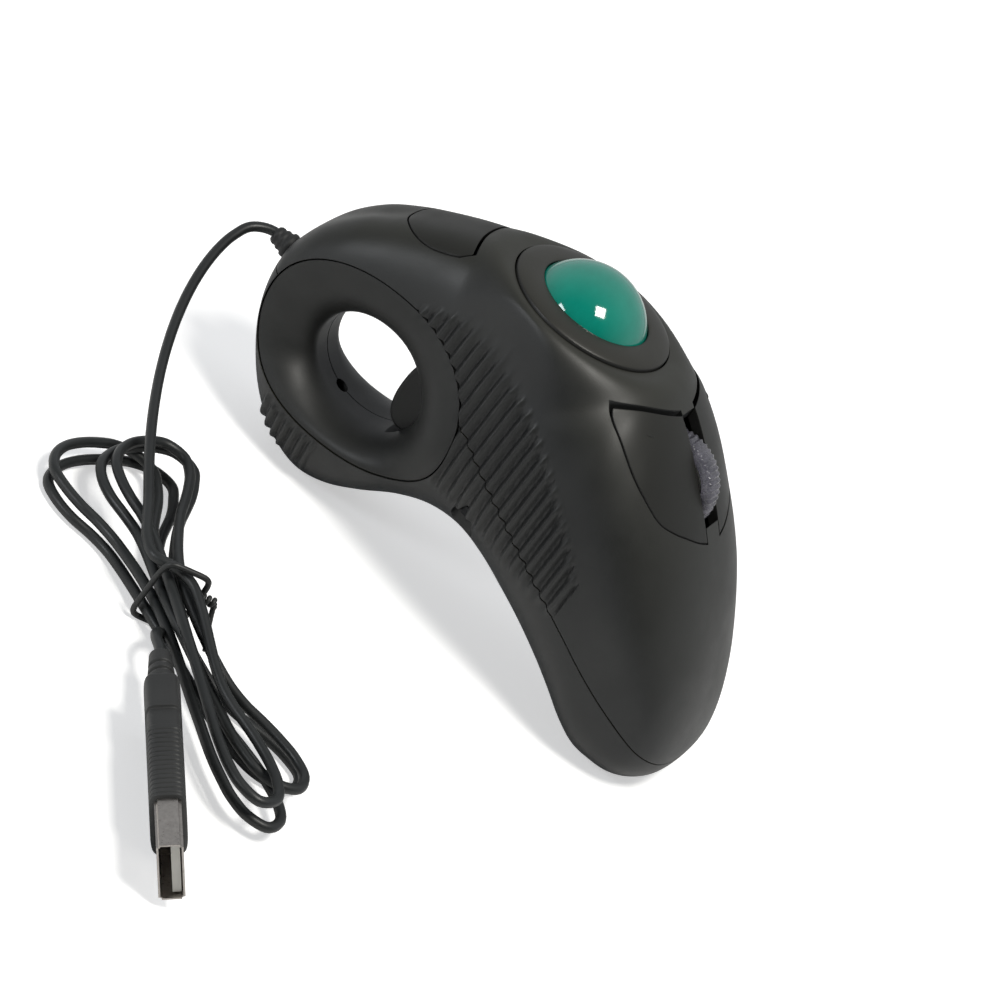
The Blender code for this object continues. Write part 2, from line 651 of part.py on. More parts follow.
# ------------------------------------------------------------------ trigger
PIN = (-8.5, 38.2)
BLADE_C = (-14.4, 29.1)     # the finger's side of the blade is half a squared ellipse round this point (y, z)
BLADE_A = (4.5, 8.2)
front_face = []
for k in range(11):
    t = math.pi * k / 10
    front_face.append((BLADE_C[0] - BLADE_A[0] * math.sin(t) ** .87,
                       BLADE_C[1] + BLADE_A[1] * math.copysign(abs(math.cos(t)) ** .87, math.cos(t))))
back_face = [(-12.2, 21.0), (-10.4, 22.8), (-9.4, 26.0), (-9.3, 31.0), (-7.4, 36.8), (-9.4, 39.4), (-12.0, 38.6)]
trig = prism_me("trigger", front_face + back_face, -6.2, 6.2)
trig = boolean(trig, [cyl_me("boss", (-6.2, *PIN), (6.2, *PIN), 2.1, 18)], 'UNION')
trig = boolean(trig, [cyl_me("bore", (-9, *PIN), (9, *PIN), 1.08, 16)])
t_pin = P(0, *PIN)
trig.transform(Matrix.Translation(-t_pin))
trig_ob = add("trigger", trig, BLACK)
trig_ob.location = t_pin
add("trigger_pin", cyl_me("trigger_pin", (-9.6, *PIN), (9.6, *PIN), 1.0, 16), STEEL)

# ------------------------------------------------------------------ ball, bezel and cup
def on_axis(h):
    return tuple(OPEN_C + h * OPEN_N)


add("ball_bezel", turned_me("ball_bezel", [(OPEN_R, 0.0), (12.5, 0.05), (14.2, -.2), (15.6, -.6), (16.2, -.85), (BEZEL_R, -1.15), (BEZEL_R, -2.9),
                                            (13.1, -2.9), (11.95, -1.1)], OPEN_C, OPEN_N, 28), BLACK)
bm = bmesh.new()
bmesh.ops.create_uvsphere(bm, u_segments=22, v_segments=12, radius=BALL_R * MM)
bmesh.ops.transform(bm, matrix=Matrix.Rotation(TILT, 4, 'X'), verts=bm.verts)
ball = add("trackball", from_bm("trackball", bm), TEAL, smooth=80)
ball.location = P(*BALL_C)

cup_prof = []
for k in range(5):                                     # inside, from the rim down
    a = math.radians(10 - (10 + 72) * k / 4)
    cup_prof.append((13.5 * math.cos(a), 13.5 * math.sin(a)))
for k in range(5):                                     # outside, back up
    a = math.radians(-72 + (72 + 8.5) * k / 4)
    cup_prof.append((15.9 * math.cos(a), 15.9 * math.sin(a)))
cup = turned_me("ball_cup", cup_prof, BALL_C, OPEN_N, 22)
bx, by, bz = BALL_C
ROLL_D, ROLL_H, ROLL_R = 12.9, -5.9, 1.6                 # roller axes' offset and drop from the ball centre
rx_y, rx_z = by + ROLL_D, bz + ROLL_H
ry_x = -ROLL_D
gap_ball = math.hypot(ROLL_D, ROLL_H) - BALL_R - ROLL_R
# bearing lugs on the cup, then windows and bores for the shafts
lugs = [box_me("lx1", -7.4, -5.4, rx_y - 3.2, rx_y + 2.4, rx_z - 3.4, rx_z + 2.6),
        box_me("lx2", 8.5, 9.95, rx_y - 6.0, rx_y + 2.4, rx_z - 3.4, rx_z + 2.6),
        box_me("ly1", ry_x - 2.4, ry_x + 3.2, by - 8.4, by - 6.4, rx_z - 3.4, rx_z + 2.6),
        box_me("ly2", ry_x - 2.4, ry_x + 5.6, by + 8.5, by + 9.95, rx_z - 3.4, rx_z + 2.6)]
for l in lugs:
    cup = boolean(cup, [l], 'UNION')
cut = [ball_me("ball_room", BALL_C, 13.25, 14, 9),
       box_me("wx", -5.0, 8.4, rx_y - 3.0, rx_y + 2.6, rx_z - 2.4, rx_z + 2.4),
       box_me("wy", ry_x - 2.6, ry_x + 3.0, by - 6.0, by + 8.4, rx_z - 2.4, rx_z + 2.4),
       cyl_me("bx", (-12, rx_y, rx_z), (14, rx_y, rx_z), 1.05, 16),
       cyl_me("by", (ry_x, by - 12, rx_z), (ry_x, by + 14, rx_z), 1.05, 16)]
# pockets for the three support balls
SUP_D = BALL_R + 1.25 + 0.04
sup = []
for k, az in enumerate((35.0, 215.0, 305.0)):
    el = math.radians(-38.0)
    d = np.array([math.cos(el) * math.cos(math.radians(az)), math.cos(el) * math.sin(math.radians(az)), math.sin(el)])
    c = np.array(BALL_C) + SUP_D * d
    sup.append(c)
    cut.append(cyl_me("pocket", tuple(c - 1.6 * d), tuple(c + 1.35 * d), 1.4, 16))
cup = boolean(cup, cut)
add("ball_cup", keep_largest(cup), GREY)
for k, c in enumerate(sup):
    add("support_ball_%d" % (k + 1), ball_me("support", c, 1.25, 12, 8), WHITE, smooth=80)


def roller(name, origin, axis, lo, hi, disc):
    """shaft with a contact sleeve and, near its end, the slotted encoder disc; its origin is on its axis."""
    a = Vector(axis)
    o = Vector(origin)

    def pt(s):
        return tuple(o + a * s)
    me = cyl_me(name, pt(lo), pt(hi), 0.95, 14)
    me = boolean(me, [cyl_me("sleeve", pt(-4.6), pt(7.8), ROLL_R, 20)], 'UNION')
    d = cyl_me("disc", pt(disc), pt(disc + .9), 4.4, 24)
    slots = []
    for k in range(8):
        an = 2 * math.pi * (k + .5) / 8
        side = a.cross(Vector((0, 0, 1)))
        r = side * math.cos(an) + Vector((0, 0, 1)) * math.sin(an)
        p = o + a * disc + r * 3.35
        slots.append(cyl_me("slot%d" % k, tuple(p - a), tuple(p + a * 2), .5, 6))
    d = boolean(d, slots)
    me = boolean(me, [d], 'UNION')
    ob = add(name, me, WHITE)
    c = P(*origin)
    me.transform(Matrix.Translation(-c))
    ob.location = c
    return ob


roller("roller_x", (0.0, rx_y, rx_z), (1, 0, 0), -8.0, 15.0, 13.0)
roller("roller_y", (ry_x, by, rx_z), (0, 1, 0), -9.6, 15.0, 13.0)


def sensor_pair(tag, c, axis):
    """emitter and detector either side of the disc's slots (mm centre of the disc rim's low point)."""
    a = np.array(axis, float)
    for name, s, mat in (("emitter_" + tag, -1, SMOKE), ("detector_" + tag, 1, CHIP)):
        q = np.array(c) + a * s * 2.3
        hx, hy = (0.9, 1.6) if abs(a[0]) > .5 else (1.6, 0.9)
        add(name, box_me(name, q[0] - hx, q[0] + hx, q[1] - hy, q[1] + hy, PCB_TOP + .05, c[2] + 1.2, 0.3), mat)


sensor_pair("x", (13.45, rx_y, rx_z - 3.35), (1, 0, 0))
sensor_pair("y", (ry_x, by + 13.45, rx_z - 3.35), (0, 1, 0))

# ------------------------------------------------------------------ boards
pcb = plan_me("main_pcb", [(-11, 1.5), (11, 1.5), (17.5, 6), (19, 14), (19, 32), (14, 42.5), (-14, 42.5), (-19, 32),
                           (-19, 14), (-17.5, 6)], PCB_Z, PCB_Z + PCB_T)
pcb = boolean(pcb, [plan_me("wheel_room", [(-3.7, 22.5), (3.7, 22.5), (3.7, 40), (-3.7, 40)], 30, 45),
                    cyl_me("h1", (18.0, 8.0, 30), (18.0, 8.0, 45), 3.1, 20), cyl_me("h2", (-18.0, 8.0, 30), (-18.0, 8.0, 45), 3.1, 20)])
add("main_pcb", pcb, BOARD)
add("front_pcb", box_me("front_pcb", -6.5, 6.5, -34, -19.5, FPCB_Z, FPCB_Z + 1.2), BOARD)
add("trigger_pcb", box_me("trigger_pcb", -6.8, 6.8, -3.2, -2.0, 18.6, 34.0), BOARD)
add("controller_chip", box_me("controller_chip", 6.0, 16.0, 27.5, 35.5, PCB_TOP, PCB_TOP + 2.2, .3), CHIP)
add("crystal", box_me("crystal", -16.0, -12.0, 29.0, 32.5, PCB_TOP, PCB_TOP + 2.4, .5), STEEL)
add("capacitor", cyl_me("capacitor", (-12.0, 38.0, PCB_TOP), (-12.0, 38.0, PCB_TOP + 4.2), 2.0, 16), CHIP)


# ------------------------------------------------------------------ switches
def switch(tag, base, up, h=SW_H):
    """square body with a bore and a round plunger that slides along `up`."""
    b, u = Vector(base), Vector(up)
    bm = bmesh.new()
    bmesh.ops.create_cube(bm, size=1.0)
    bmesh.ops.scale(bm, vec=(6 * MM, 6 * MM, h * MM), verts=bm.verts)
    bmesh.ops.bevel(bm, geom=bm.edges[:], offset=.35 * MM, segments=1, affect='EDGES')
    place(bm, P(*(b + u * h / 2)), u)
    body = from_bm("switch", bm)
    body = boolean(body, [cyl_me("bore", tuple(b + u * (h - 2.6)), tuple(b + u * (h + 2)), 1.35, 16)])
    add("switch_" + tag, body, CHIP)
    me = cyl_me("plunger", tuple(b + u * (h - 1.2)), tuple(b + u * (h + PLUNGE)), 1.2, 14)
    ob = add("plunger_" + tag, me, WHITE)
    c = P(*(b + u * h))
    me.transform(Matrix.Translation(-c))
    ob.location = c


switch("left", (12.5, REAR_POST_Y, PCB_TOP), (0, 0, 1))
switch("right", (-12.5, REAR_POST_Y, PCB_TOP), (0, 0, 1))
switch("front", (0, -26.5, front_top), (0, 0, 1))
TRIG_SW_Z = 25.5
switch("trigger", (0, -3.25, TRIG_SW_Z), (0, -1, 0), h=4.5)
switch("wheel", (0, 17.6, PCB_TOP), (0, 0, 1))

# ------------------------------------------------------------------ scroll wheel
wy, wz = WHEEL_C
tyre = turned_me("wheel_tyre", [(8.2, -2.45), (9.9, -2.45), (WHEEL_R, -1.9), (WHEEL_R, 1.9), (9.9, 2.45), (8.2, 2.45)],
                 (0, wy, wz), (1, 0, 0), 32)
grooves = []
for k in range(16):
    an = 2 * math.pi * (k + .5) / 16
    gy, gz = wy + math.cos(an) * (WHEEL_R + .05), wz + math.sin(an) * (WHEEL_R + .05)
    grooves.append(cyl_me("g%d" % k, (-4, gy, gz), (4, gy, gz), .55, 4))
join = grooves[0]
tyre = boolean(tyre, grooves)
t_ob = add("wheel_tyre", tyre, SMOKE)
hub = turned_me("wheel_hub", [(1.3, -3.0), (2.6, -3.0), (2.6, -1.6), (7.9, -1.6), (7.9, 1.6), (2.6, 1.6), (2.6, 3.0), (1.3, 3.0)],
                (0, wy, wz), (1, 0, 0), 18)
h_ob = add("wheel_hub", hub, WHITE)
a_ob = add("wheel_axle", cyl_me("wheel_axle", (-9.6, wy, wz), (7.6, wy, wz), 1.0, 16), STEEL)
for ob in (t_ob, h_ob, a_ob):
    c = P(0, wy, wz)
    ob.data.transform(Matrix.Translation(-c))
    ob.location = c
cradle = prism_me("wheel_cradle", [(16.4, 43.6), (33.2, 43.6), (33.2, 48.8), (31.4, 50.2), (20.4, 50.4), (16.4, 48.0)], -5.6, 5.6)
cradle = boolean(cradle, [box_me("gap", -4.0, 4.0, 19.0, 45, 40, 55),
                          cyl_me("cb", (-8, wy, wz), (8, wy, wz), 1.1, 16)])
add("wheel_cradle", cradle, GREY)
enc = box_me("wheel_encoder", -11.2, -6.6, 26.85, 33.0, PCB_TOP, 49.8, .4)
enc = boolean(enc, [box_me("eslot", -12, -6, wy - 1.15, wy + 1.15, wz - 1.8, wz + 1.15)])
add("wheel_encoder", enc, CHIP)

# ------------------------------------------------------------------ cable, boot, bundle
add("cable_boot", turned_me("cable_boot", [(1.2, -3.7), (2.7, -3.7), (2.7, -3.1), (2.1, -3.1), (2.1, 0.5), (2.35, 0.8), (2.2, 2.2), (1.7, 4.8),
                                           (1.2, 4.8)], (0, -52.0, 31.0), (0, -1, 0), 14), DARK)

# The cable bundle lies flat on the desk beside the device.  lay() places a point of the bundle's plan:
# u runs across it and v along it, both in mm from the tie; z is the height of the strand.
NECK = (80.9, -14.7)
ALONG = (2.30, 1.60)       # desk shift per unit of v
ACROSS = (-2.30, 1.00)     # desk shift per unit of u


def lay(u, v, z):
    return (NECK[0] + ALONG[0] * v + ACROSS[0] * u, NECK[1] + ALONG[1] * v + ACROSS[1] * u, z)


OD = 2 * CABLE_R + 0.15
LEVELS = [1.3, 3.75, 6.2, 8.65]
NECK_LIFT = 1.35           # the strands rise over the tie where it passes under them


def teardrop(length, width, lean, n, side):
    """a loop leaving the tie and coming back to it, in plan (u, v): length, width, sideways lean of its far end."""
    out = []
    for k in range(1, n):
        t = k / n
        along = 1.5 + (length - 1.5) * math.sin(math.pi * t) ** .8
        across = -side * .5 * width * math.sin(2 * math.pi * t) * (along / length) ** .5
        out.append((across + lean * (along / length) ** 1.15, -side * along))
    return out


# one winding per level: the loops above the tie and below it (length, width, lean)
TOPS = [teardrop(16.6, 13.6, -4.4, 10, 1), teardrop(17.4, 10.8, -6.0, 10, 1), teardrop(16.0, 10.4, -1.6, 10, 1), teardrop(15.6, 8.0, -1.8, 10, 1)]
BOTTOMS = [teardrop(16.6, 5.0, 12.6, 9, -1), teardrop(21.0, 4.6, 9.6, 9, -1), teardrop(18.4, 5.0, 11.4, 9, -1), teardrop(20.4, 4.4, 8.0, 9, -1)]
NOSE_OUT = (0.0, -56.8, 31.0)    # where the cable leaves the boot, and the two points it bends towards
NOSE_BEND = (0.0, -66.0, 31.0)
DESK_BEND = (30.0, -63.0, 14.0)
DESK_END = (80.5, -22.0, 11.4)


def bezier(a, b, c, d, n):
    a, b, c, d = (np.array(q, float) for q in (a, b, c, d))
    ts = [k / n for k in range(n + 1)]
    return [tuple(float(w) for w in (1 - t) ** 3 * a + 3 * t * (1 - t) ** 2 * b + 3 * t * t * (1 - t) * c + t ** 3 * d) for t in ts]


def cable_path():
    lead = [(0, 3.0, 40.0), (0, -1.0, 41.0), (0, -12.0, 43.3), (0, -24.0, 43.6), (0, -36.0, 42.6), (0, -42.4, 39.4), (0, -44.9, 34.6), (0, -46.5, 32.0),
            (0, -48.0, 31.05), (0, -50.0, 31.0), (0, -52.0, 31.0), (0, -54.0, 31.0)]
    lead += bezier(NOSE_OUT, NOSE_BEND, DESK_BEND, DESK_END, 12)
    pts = list(lead)
    pts.append(lay(0.30, 0.0, 11.1 + NECK_LIFT))
    for k in (3, 2, 1, 0):
        z = LEVELS[k]
        pts += [lay(u, v, z + (.6 * NECK_LIFT if abs(v) < 2 else 0)) for u, v in BOTTOMS[k]]
        pts.append(lay(-0.62, 0.0, z + NECK_LIFT))
        pts += [lay(u, v, z + (.6 * NECK_LIFT if abs(v) < 2 else 0)) for u, v in TOPS[k]]
        pts.append(lay(0.62, 0.0, z + NECK_LIFT))
    return pts


def cable_main():
    raw = cable_path()
    return raw


ctrl = cable_main()
# the last strand leaves the tie towards the plug
PLUG_A = np.array([97.4, -6.8, 7.9])
PLUG_B = np.array([143.3, 25.3, 7.9])
pa = (PLUG_B - PLUG_A) / np.linalg.norm(PLUG_B - PLUG_A)
ctrl.append(lay(0.7, 1.4, 2.6))
ctrl.append(tuple(PLUG_A - pa * 7 + np.array([0, 0, -1.2])))
ctrl.append(tuple(PLUG_A - pa * 2))
ctrl.append(tuple(PLUG_A + pa * 3.0))
path = spline(ctrl, 4.4)
add("usb_cable", tube_me("usb_cable", [P(*p) for p in path], CABLE_R, 1), CABLE, smooth=60)
np_path = path

# twist tie: a loop round the neck and a twisted tail
NA = np.array([ALONG[0], ALONG[1], 0.0])
NA /= np.linalg.norm(NA)
NB = np.array([-NA[1], NA[0], 0.0])
neck = np.array(lay(0.0, 0.0, 0.0))
tie = []
for k in range(22):
    a = 2 * math.pi * (k + .5) / 22
    e = 6.0
    cx = math.copysign(abs(math.cos(a)) ** (2 / e), math.cos(a)) * 4.5
    cz = math.copysign(abs(math.sin(a)) ** (2 / e), math.sin(a)) * 6.95
    tie.append(neck + NB * cx + np.array([0, 0, 7.6 + cz]))
tie = np.array(tie)

# ------------------------------------------------------------------ USB plug
wdir = Vector((0.265, -0.467, 0.8436))
adir = Vector(pa)
wdir = (wdir - adir * wdir.dot(adir)).normalized()
hdir = adir.cross(wdir)
PA = P(*PLUG_A)


def plug_box(name, s0, s1, w, h, bevel=0.0, z=0.0):
    bm = bmesh.new()
    bmesh.ops.create_cube(bm, size=1.0)
    bmesh.ops.scale(bm, vec=((s1 - s0) * MM, w * MM, h * MM), verts=bm.verts)
    if bevel:
        bmesh.ops.bevel(bm, geom=bm.edges[:], offset=bevel * MM, segments=2, affect='EDGES')
    bmesh.ops.translate(bm, vec=((s0 + s1) / 2 * MM, 0, z * MM), verts=bm.verts)
    m = Matrix((adir, wdir, hdir)).transposed().to_4x4()
    bmesh.ops.transform(bm, matrix=Matrix.Translation(PA) @ m, verts=bm.verts)
    return from_bm(name, bm)


def plug_pt(s):
    q = PLUG_A + pa * s
    return (float(q[0]), float(q[1]), float(q[2]))


mould = plug_box("mould", 11.0, 43.0, 13.6, 6.4, 1.2)
relief = cyl_me("relief", plug_pt(0.0), plug_pt(12.5), 2.3, 16, 3.0)
mould = boolean(mould, [relief], 'UNION')
mould = boolean(mould, [cyl_me("mbore", plug_pt(-2.0), plug_pt(4.0), CABLE_R + .12, 16)])
add("usb_plug_overmold", mould, DARK)
ps = plug_box("ps", 43.35, 55.6, 12.0, 4.5)
ps = boolean(ps, [plug_box("pi", 44.2, 60.0, 11.2, 3.7)])
ps = boolean(ps, [plug_box("w1", 49.6, 52.0, 2.4, 8.0)])
me_w = plug_box("w2", 49.6, 52.0, 2.4, 8.0)
add("usb_plug_shell", ps, PLUG)
add("usb_plug_tongue", plug_box("tongue", 44.6, 54.8, 10.6, 1.5, 0.0, -0.9), WHITE)

tie_me = tube_me("twist_tie", [P(*p) for p in tie], 0.6, 1, True)
add("twist_tie", tie_me, CABLE)
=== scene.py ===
# Looks of the handheld finger-ring trackball mouse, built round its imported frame.  Blender 4.5.
# Layout numbers are millimetres from the point under the ball; P() turns them into the frame's metres.
import json
import math
import bpy
import bmesh
import numpy as np
from mathutils import Matrix, Vector
from mathutils.bvhtree import BVHTree

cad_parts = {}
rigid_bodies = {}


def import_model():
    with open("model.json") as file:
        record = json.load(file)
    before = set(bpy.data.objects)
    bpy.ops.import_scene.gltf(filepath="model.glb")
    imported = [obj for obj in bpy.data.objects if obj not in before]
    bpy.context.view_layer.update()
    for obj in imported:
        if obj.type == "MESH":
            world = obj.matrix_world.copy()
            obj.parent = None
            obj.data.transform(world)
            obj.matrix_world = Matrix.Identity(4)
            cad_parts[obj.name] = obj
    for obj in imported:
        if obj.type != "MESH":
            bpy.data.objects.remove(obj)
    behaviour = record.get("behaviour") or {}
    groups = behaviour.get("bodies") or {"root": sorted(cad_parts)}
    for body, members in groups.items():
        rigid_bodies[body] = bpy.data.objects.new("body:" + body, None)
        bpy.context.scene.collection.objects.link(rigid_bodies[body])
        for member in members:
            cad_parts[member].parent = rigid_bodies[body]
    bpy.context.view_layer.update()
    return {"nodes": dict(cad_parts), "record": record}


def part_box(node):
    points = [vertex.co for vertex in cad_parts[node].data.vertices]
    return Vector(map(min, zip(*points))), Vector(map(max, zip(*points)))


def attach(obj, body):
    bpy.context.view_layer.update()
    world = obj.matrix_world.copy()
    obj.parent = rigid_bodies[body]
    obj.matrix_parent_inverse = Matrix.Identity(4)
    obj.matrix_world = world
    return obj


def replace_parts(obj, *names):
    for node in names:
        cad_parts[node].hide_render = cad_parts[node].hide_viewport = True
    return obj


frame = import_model()
NODES = frame["nodes"]

MM = 0.001
HEEL_Y = 54.5
WALL = 2.0
GAP = 0.3
SPLIT = 0.13
OPEN_Z = 65.2
OPEN_R = 11.2
TILT = math.radians(1.0)
SINK = 6.1
BEZEL_R = 16.4
BAND_R = 24.0
RING_C = (-25.0, 29.2)
RING_A = (23.9, 17.6)
RING_POW = 2.25
RING_TILT = math.radians(7.0)
THROAT_C = (-24.9, 25.9)
THROAT_A = (12.5, 10.0)
THROAT_X = 4.0
WHEEL_C = (30.0, 47.6)
WHEEL_R = 10.4
SLOT_X = 3.2
BTN_X = 2.7
CABLE_R = 1.0

STATIONS = [
    (-52.0, 31.0, -52.0, 31.0, 0.0, .50, 2.6, 2.6),
    (-50.8, 37.0, -50.3, 25.0, 8.5, .50, 2.6, 2.6),
    (-48.0, 43.4, -47.5, 17.5, 11.8, .50, 2.9, 2.7),
    (-43.5, 49.0, -42.5, 9.8, 13.2, .50, 3.1, 2.8),
    (-38.2, 53.2, -37.0, 4.2, 14.0, .50, 3.2, 2.8),
    (-32.2, 57.0, -31.0, 0.6, 14.5, .50, 3.2, 2.8),
    (-26.0, 60.4, -25.0, -0.6, 15.0, .50, 3.2, 2.8),
    (-20.0, 62.9, -19.0, 1.2, 15.8, .50, 3.2, 2.8),
    (-14.0, 64.4, -13.0, 5.2, 17.2, .50, 3.1, 2.7),
    (-8.0, 65.2, -6.5, 10.6, 19.0, .49, 3.0, 2.6),
    (-2.0, 65.4, 0.0, 14.4, 21.0, .48, 2.9, 2.5),
    (4.0, 65.4, 7.0, 16.0, 23.0, .46, 2.7, 2.4),
    (10.0, 65.3, 14.0, 15.2, 24.3, .45, 2.6, 2.4),
    (16.0, 64.8, 21.0, 12.8, 25.0, .45, 2.5, 2.4),
    (21.0, 63.6, 28.0, 9.8, 25.3, .46, 2.5, 2.4),
    (26.0, 61.0, 34.5, 6.8, 25.3, .47, 2.4, 2.5),
    (31.0, 57.3, 40.0, 3.8, 25.0, .48, 2.4, 2.6),
    (36.5, 52.4, 45.0, 1.2, 24.6, .48, 2.4, 2.8),
    (42.0, 47.2, 49.5, -0.4, 23.8, .48, 2.4, 3.0),
    (47.5, 41.2, 53.5, -0.8, 22.4, .48, 2.4, 3.0),
    (53.0, 34.0, 57.5, -0.8, 20.5, .48, 2.3, 2.8),
    (58.0, 26.2, 60.8, 0.4, 18.0, .48, 2.2, 2.5),
    (62.0, 18.3, 63.3, 2.5, 14.0, .50, 2.1, 2.2),
    (64.3, 12.0, 64.6, 5.4, 8.5, .50, 2.0, 2.0),
    (65.0, 8.5, 65.0, 8.5, 0.0, .50, 2.0, 2.0),
]
# parting line of the casing, seen from the side: it rises along the nose to PART_Y, then falls to the heel
PART_Y = -1.4
PART_NOSE = 31.0
PART_RISE = 7.0


def parting_z(y):
    if y < PART_Y:
        f = max(0.0, (y + 47.0) / (PART_Y + 47.0))
        return PART_NOSE + PART_RISE * f
    d = y - PART_Y
    return PART_NOSE + PART_RISE - 0.36 * d - 0.0014 * d * d


PARTING = [(float(y), parting_z(y)) for y in (-75.0, -47.0, PART_Y)] + [(float(y), parting_z(y)) for y in np.arange(6.0, 81.0, 8.0)]

def P(x, y, z):
    return Vector((x * MM, (y - HEEL_Y) * MM, z * MM))


work = bpy.data.collections.new("work")
bpy.context.scene.collection.children.link(work)


def from_bm(name, bm):
    bmesh.ops.recalc_face_normals(bm, faces=bm.faces)
    me = bpy.data.meshes.new(name)
    bm.to_mesh(me)
    bm.free()
    return me


def place(bm, loc, direction=(0, 0, 1)):
    q = Vector(direction).to_track_quat('Z', 'Y')
    bmesh.ops.transform(bm, matrix=Matrix.Translation(loc) @ q.to_matrix().to_4x4(), verts=bm.verts)


def box_me(name, x0, x1, y0, y1, z0, z1, bevel=0.0):
    bm = bmesh.new()
    bmesh.ops.create_cube(bm, size=1.0)
    a, b = P(x0, y0, z0), P(x1, y1, z1)
    bmesh.ops.scale(bm, vec=b - a, verts=bm.verts)
    bmesh.ops.translate(bm, vec=(a + b) / 2, verts=bm.verts)
    if bevel:
        bmesh.ops.bevel(bm, geom=bm.edges[:], offset=bevel * MM, segments=1, affect='EDGES')
    return from_bm(name, bm)


def cyl_me(name, p0, p1, r, seg=20, r2=None):
    a, b = P(*p0), P(*p1)
    bm = bmesh.new()
    bmesh.ops.create_cone(bm, cap_ends=True, segments=seg, radius1=r * MM,
                          radius2=(r if r2 is None else r2) * MM, depth=(b - a).length)
    place(bm, (a + b) / 2, b - a)
    return from_bm(name, bm)


def ball_me(name, c, r, u=16, v=10):
    bm = bmesh.new()
    bmesh.ops.create_uvsphere(bm, u_segments=u, v_segments=v, radius=r * MM)
    bmesh.ops.translate(bm, vec=P(*c), verts=bm.verts)
    return from_bm(name, bm)


def turned_me(name, profile, origin, direction, steps=32):
    """closed profile of (radius, height) turned about direction through origin (mm)."""
    bm = bmesh.new()
    vs = [bm.verts.new((r * MM, 0.0, h * MM)) for r, h in profile]
    edges = [bm.edges.new((vs[i], vs[(i + 1) % len(vs)])) for i in range(len(vs))]
    bmesh.ops.spin(bm, geom=vs + edges, cent=(0, 0, 0), axis=(0, 0, 1), angle=2 * math.pi,
                   steps=steps, use_merge=True, use_normal_flip=False)
    bmesh.ops.remove_doubles(bm, verts=bm.verts, dist=1e-7)
    place(bm, P(*origin), direction)
    return from_bm(name, bm)


def prism_me(name, outline, x0, x1):
    """outline of (y, z) swept along X."""
    bm = bmesh.new()
    f = bm.faces.new([bm.verts.new(P(x0, y, z)) for y, z in outline])
    r = bmesh.ops.extrude_face_region(bm, geom=[f])
    bmesh.ops.translate(bm, vec=((x1 - x0) * MM, 0, 0),
                        verts=[g for g in r["geom"] if isinstance(g, bmesh.types.BMVert)])
    return from_bm(name, bm)


def plan_me(name, outline, z0, z1):
    """outline of (x, y) swept along Z."""
    bm = bmesh.new()
    f = bm.faces.new([bm.verts.new(P(x, y, z0)) for x, y in outline])
    r = bmesh.ops.extrude_face_region(bm, geom=[f])
    bmesh.ops.translate(bm, vec=(0, 0, (z1 - z0) * MM),
                        verts=[g for g in r["geom"] if isinstance(g, bmesh.types.BMVert)])
    return from_bm(name, bm)


def boolean(me, others, op='DIFFERENCE', solver='MANIFOLD'):
    ob = bpy.data.objects.new("work", me)
    work.objects.link(ob)
    tools = []
    for i, o in enumerate(others):
        t = bpy.data.objects.new("cutter", o)
        work.objects.link(t)
        tools.append(t)
        m = ob.modifiers.new("b%d" % i, 'BOOLEAN')
        m.operation = op
        m.solver = solver
        m.object = t
    dg = bpy.context.evaluated_depsgraph_get()
    dg.update()
    out = bpy.data.meshes.new_from_object(ob.evaluated_get(dg))
    for t in [ob] + tools:
        bpy.data.objects.remove(t, do_unlink=True)
    if len(out.polygons) == 0:
        raise RuntimeError("empty boolean")
    bm = bmesh.new()
    bm.from_mesh(out)
    bmesh.ops.remove_doubles(bm, verts=bm.verts, dist=1.5e-6)
    bmesh.ops.dissolve_degenerate(bm, edges=bm.edges, dist=1e-6)
    bm.to_mesh(out)
    bm.free()
    return out


def keep_largest(me):
    """keep the biggest of the loose bodies (a clean cut leaves one)."""
    bm = bmesh.new()
    bm.from_mesh(me)
    bm.verts.ensure_lookup_table()
    seen, best = set(), []
    for v in bm.verts:
        if v in seen:
            continue
        stack, group = [v], []
        seen.add(v)
        while stack:
            w = stack.pop()
            group.append(w)
            for e in w.link_edges:
                o = e.other_vert(w)
                if o not in seen:
                    seen.add(o)
                    stack.append(o)
        if len(group) > len(best):
            best = group
    keep = set(best)
    bmesh.ops.delete(bm, geom=[v for v in bm.verts if v not in keep], context='VERTS')
    bm.to_mesh(me)
    bm.free()
    return me


def copy(me, name):
    c = me.copy()
    c.name = name
    return c


def tube_me(name, pts, r, res=1, close=False):
    """round tube through pts (world metres): poly curve, capped, welded."""
    cu = bpy.data.curves.new(name, 'CURVE')
    cu.dimensions = '3D'
    cu.bevel_depth = r * MM
    cu.bevel_resolution = res
    cu.use_fill_caps = True
    cu.twist_mode = 'MINIMUM'
    sp = cu.splines.new('POLY')
    sp.points.add(len(pts) - 1)
    for i, p in enumerate(pts):
        sp.points[i].co = (*p, 1.0)
    sp.use_cyclic_u = close
    ob = bpy.data.objects.new(name, cu)
    work.objects.link(ob)
    dg = bpy.context.evaluated_depsgraph_get()
    dg.update()
    me = bpy.data.meshes.new_from_object(ob.evaluated_get(dg))
    bpy.data.objects.remove(ob, do_unlink=True)
    bm = bmesh.new()
    bm.from_mesh(me)
    bmesh.ops.remove_doubles(bm, verts=bm.verts, dist=1e-6)
    return from_bm(name, bm)


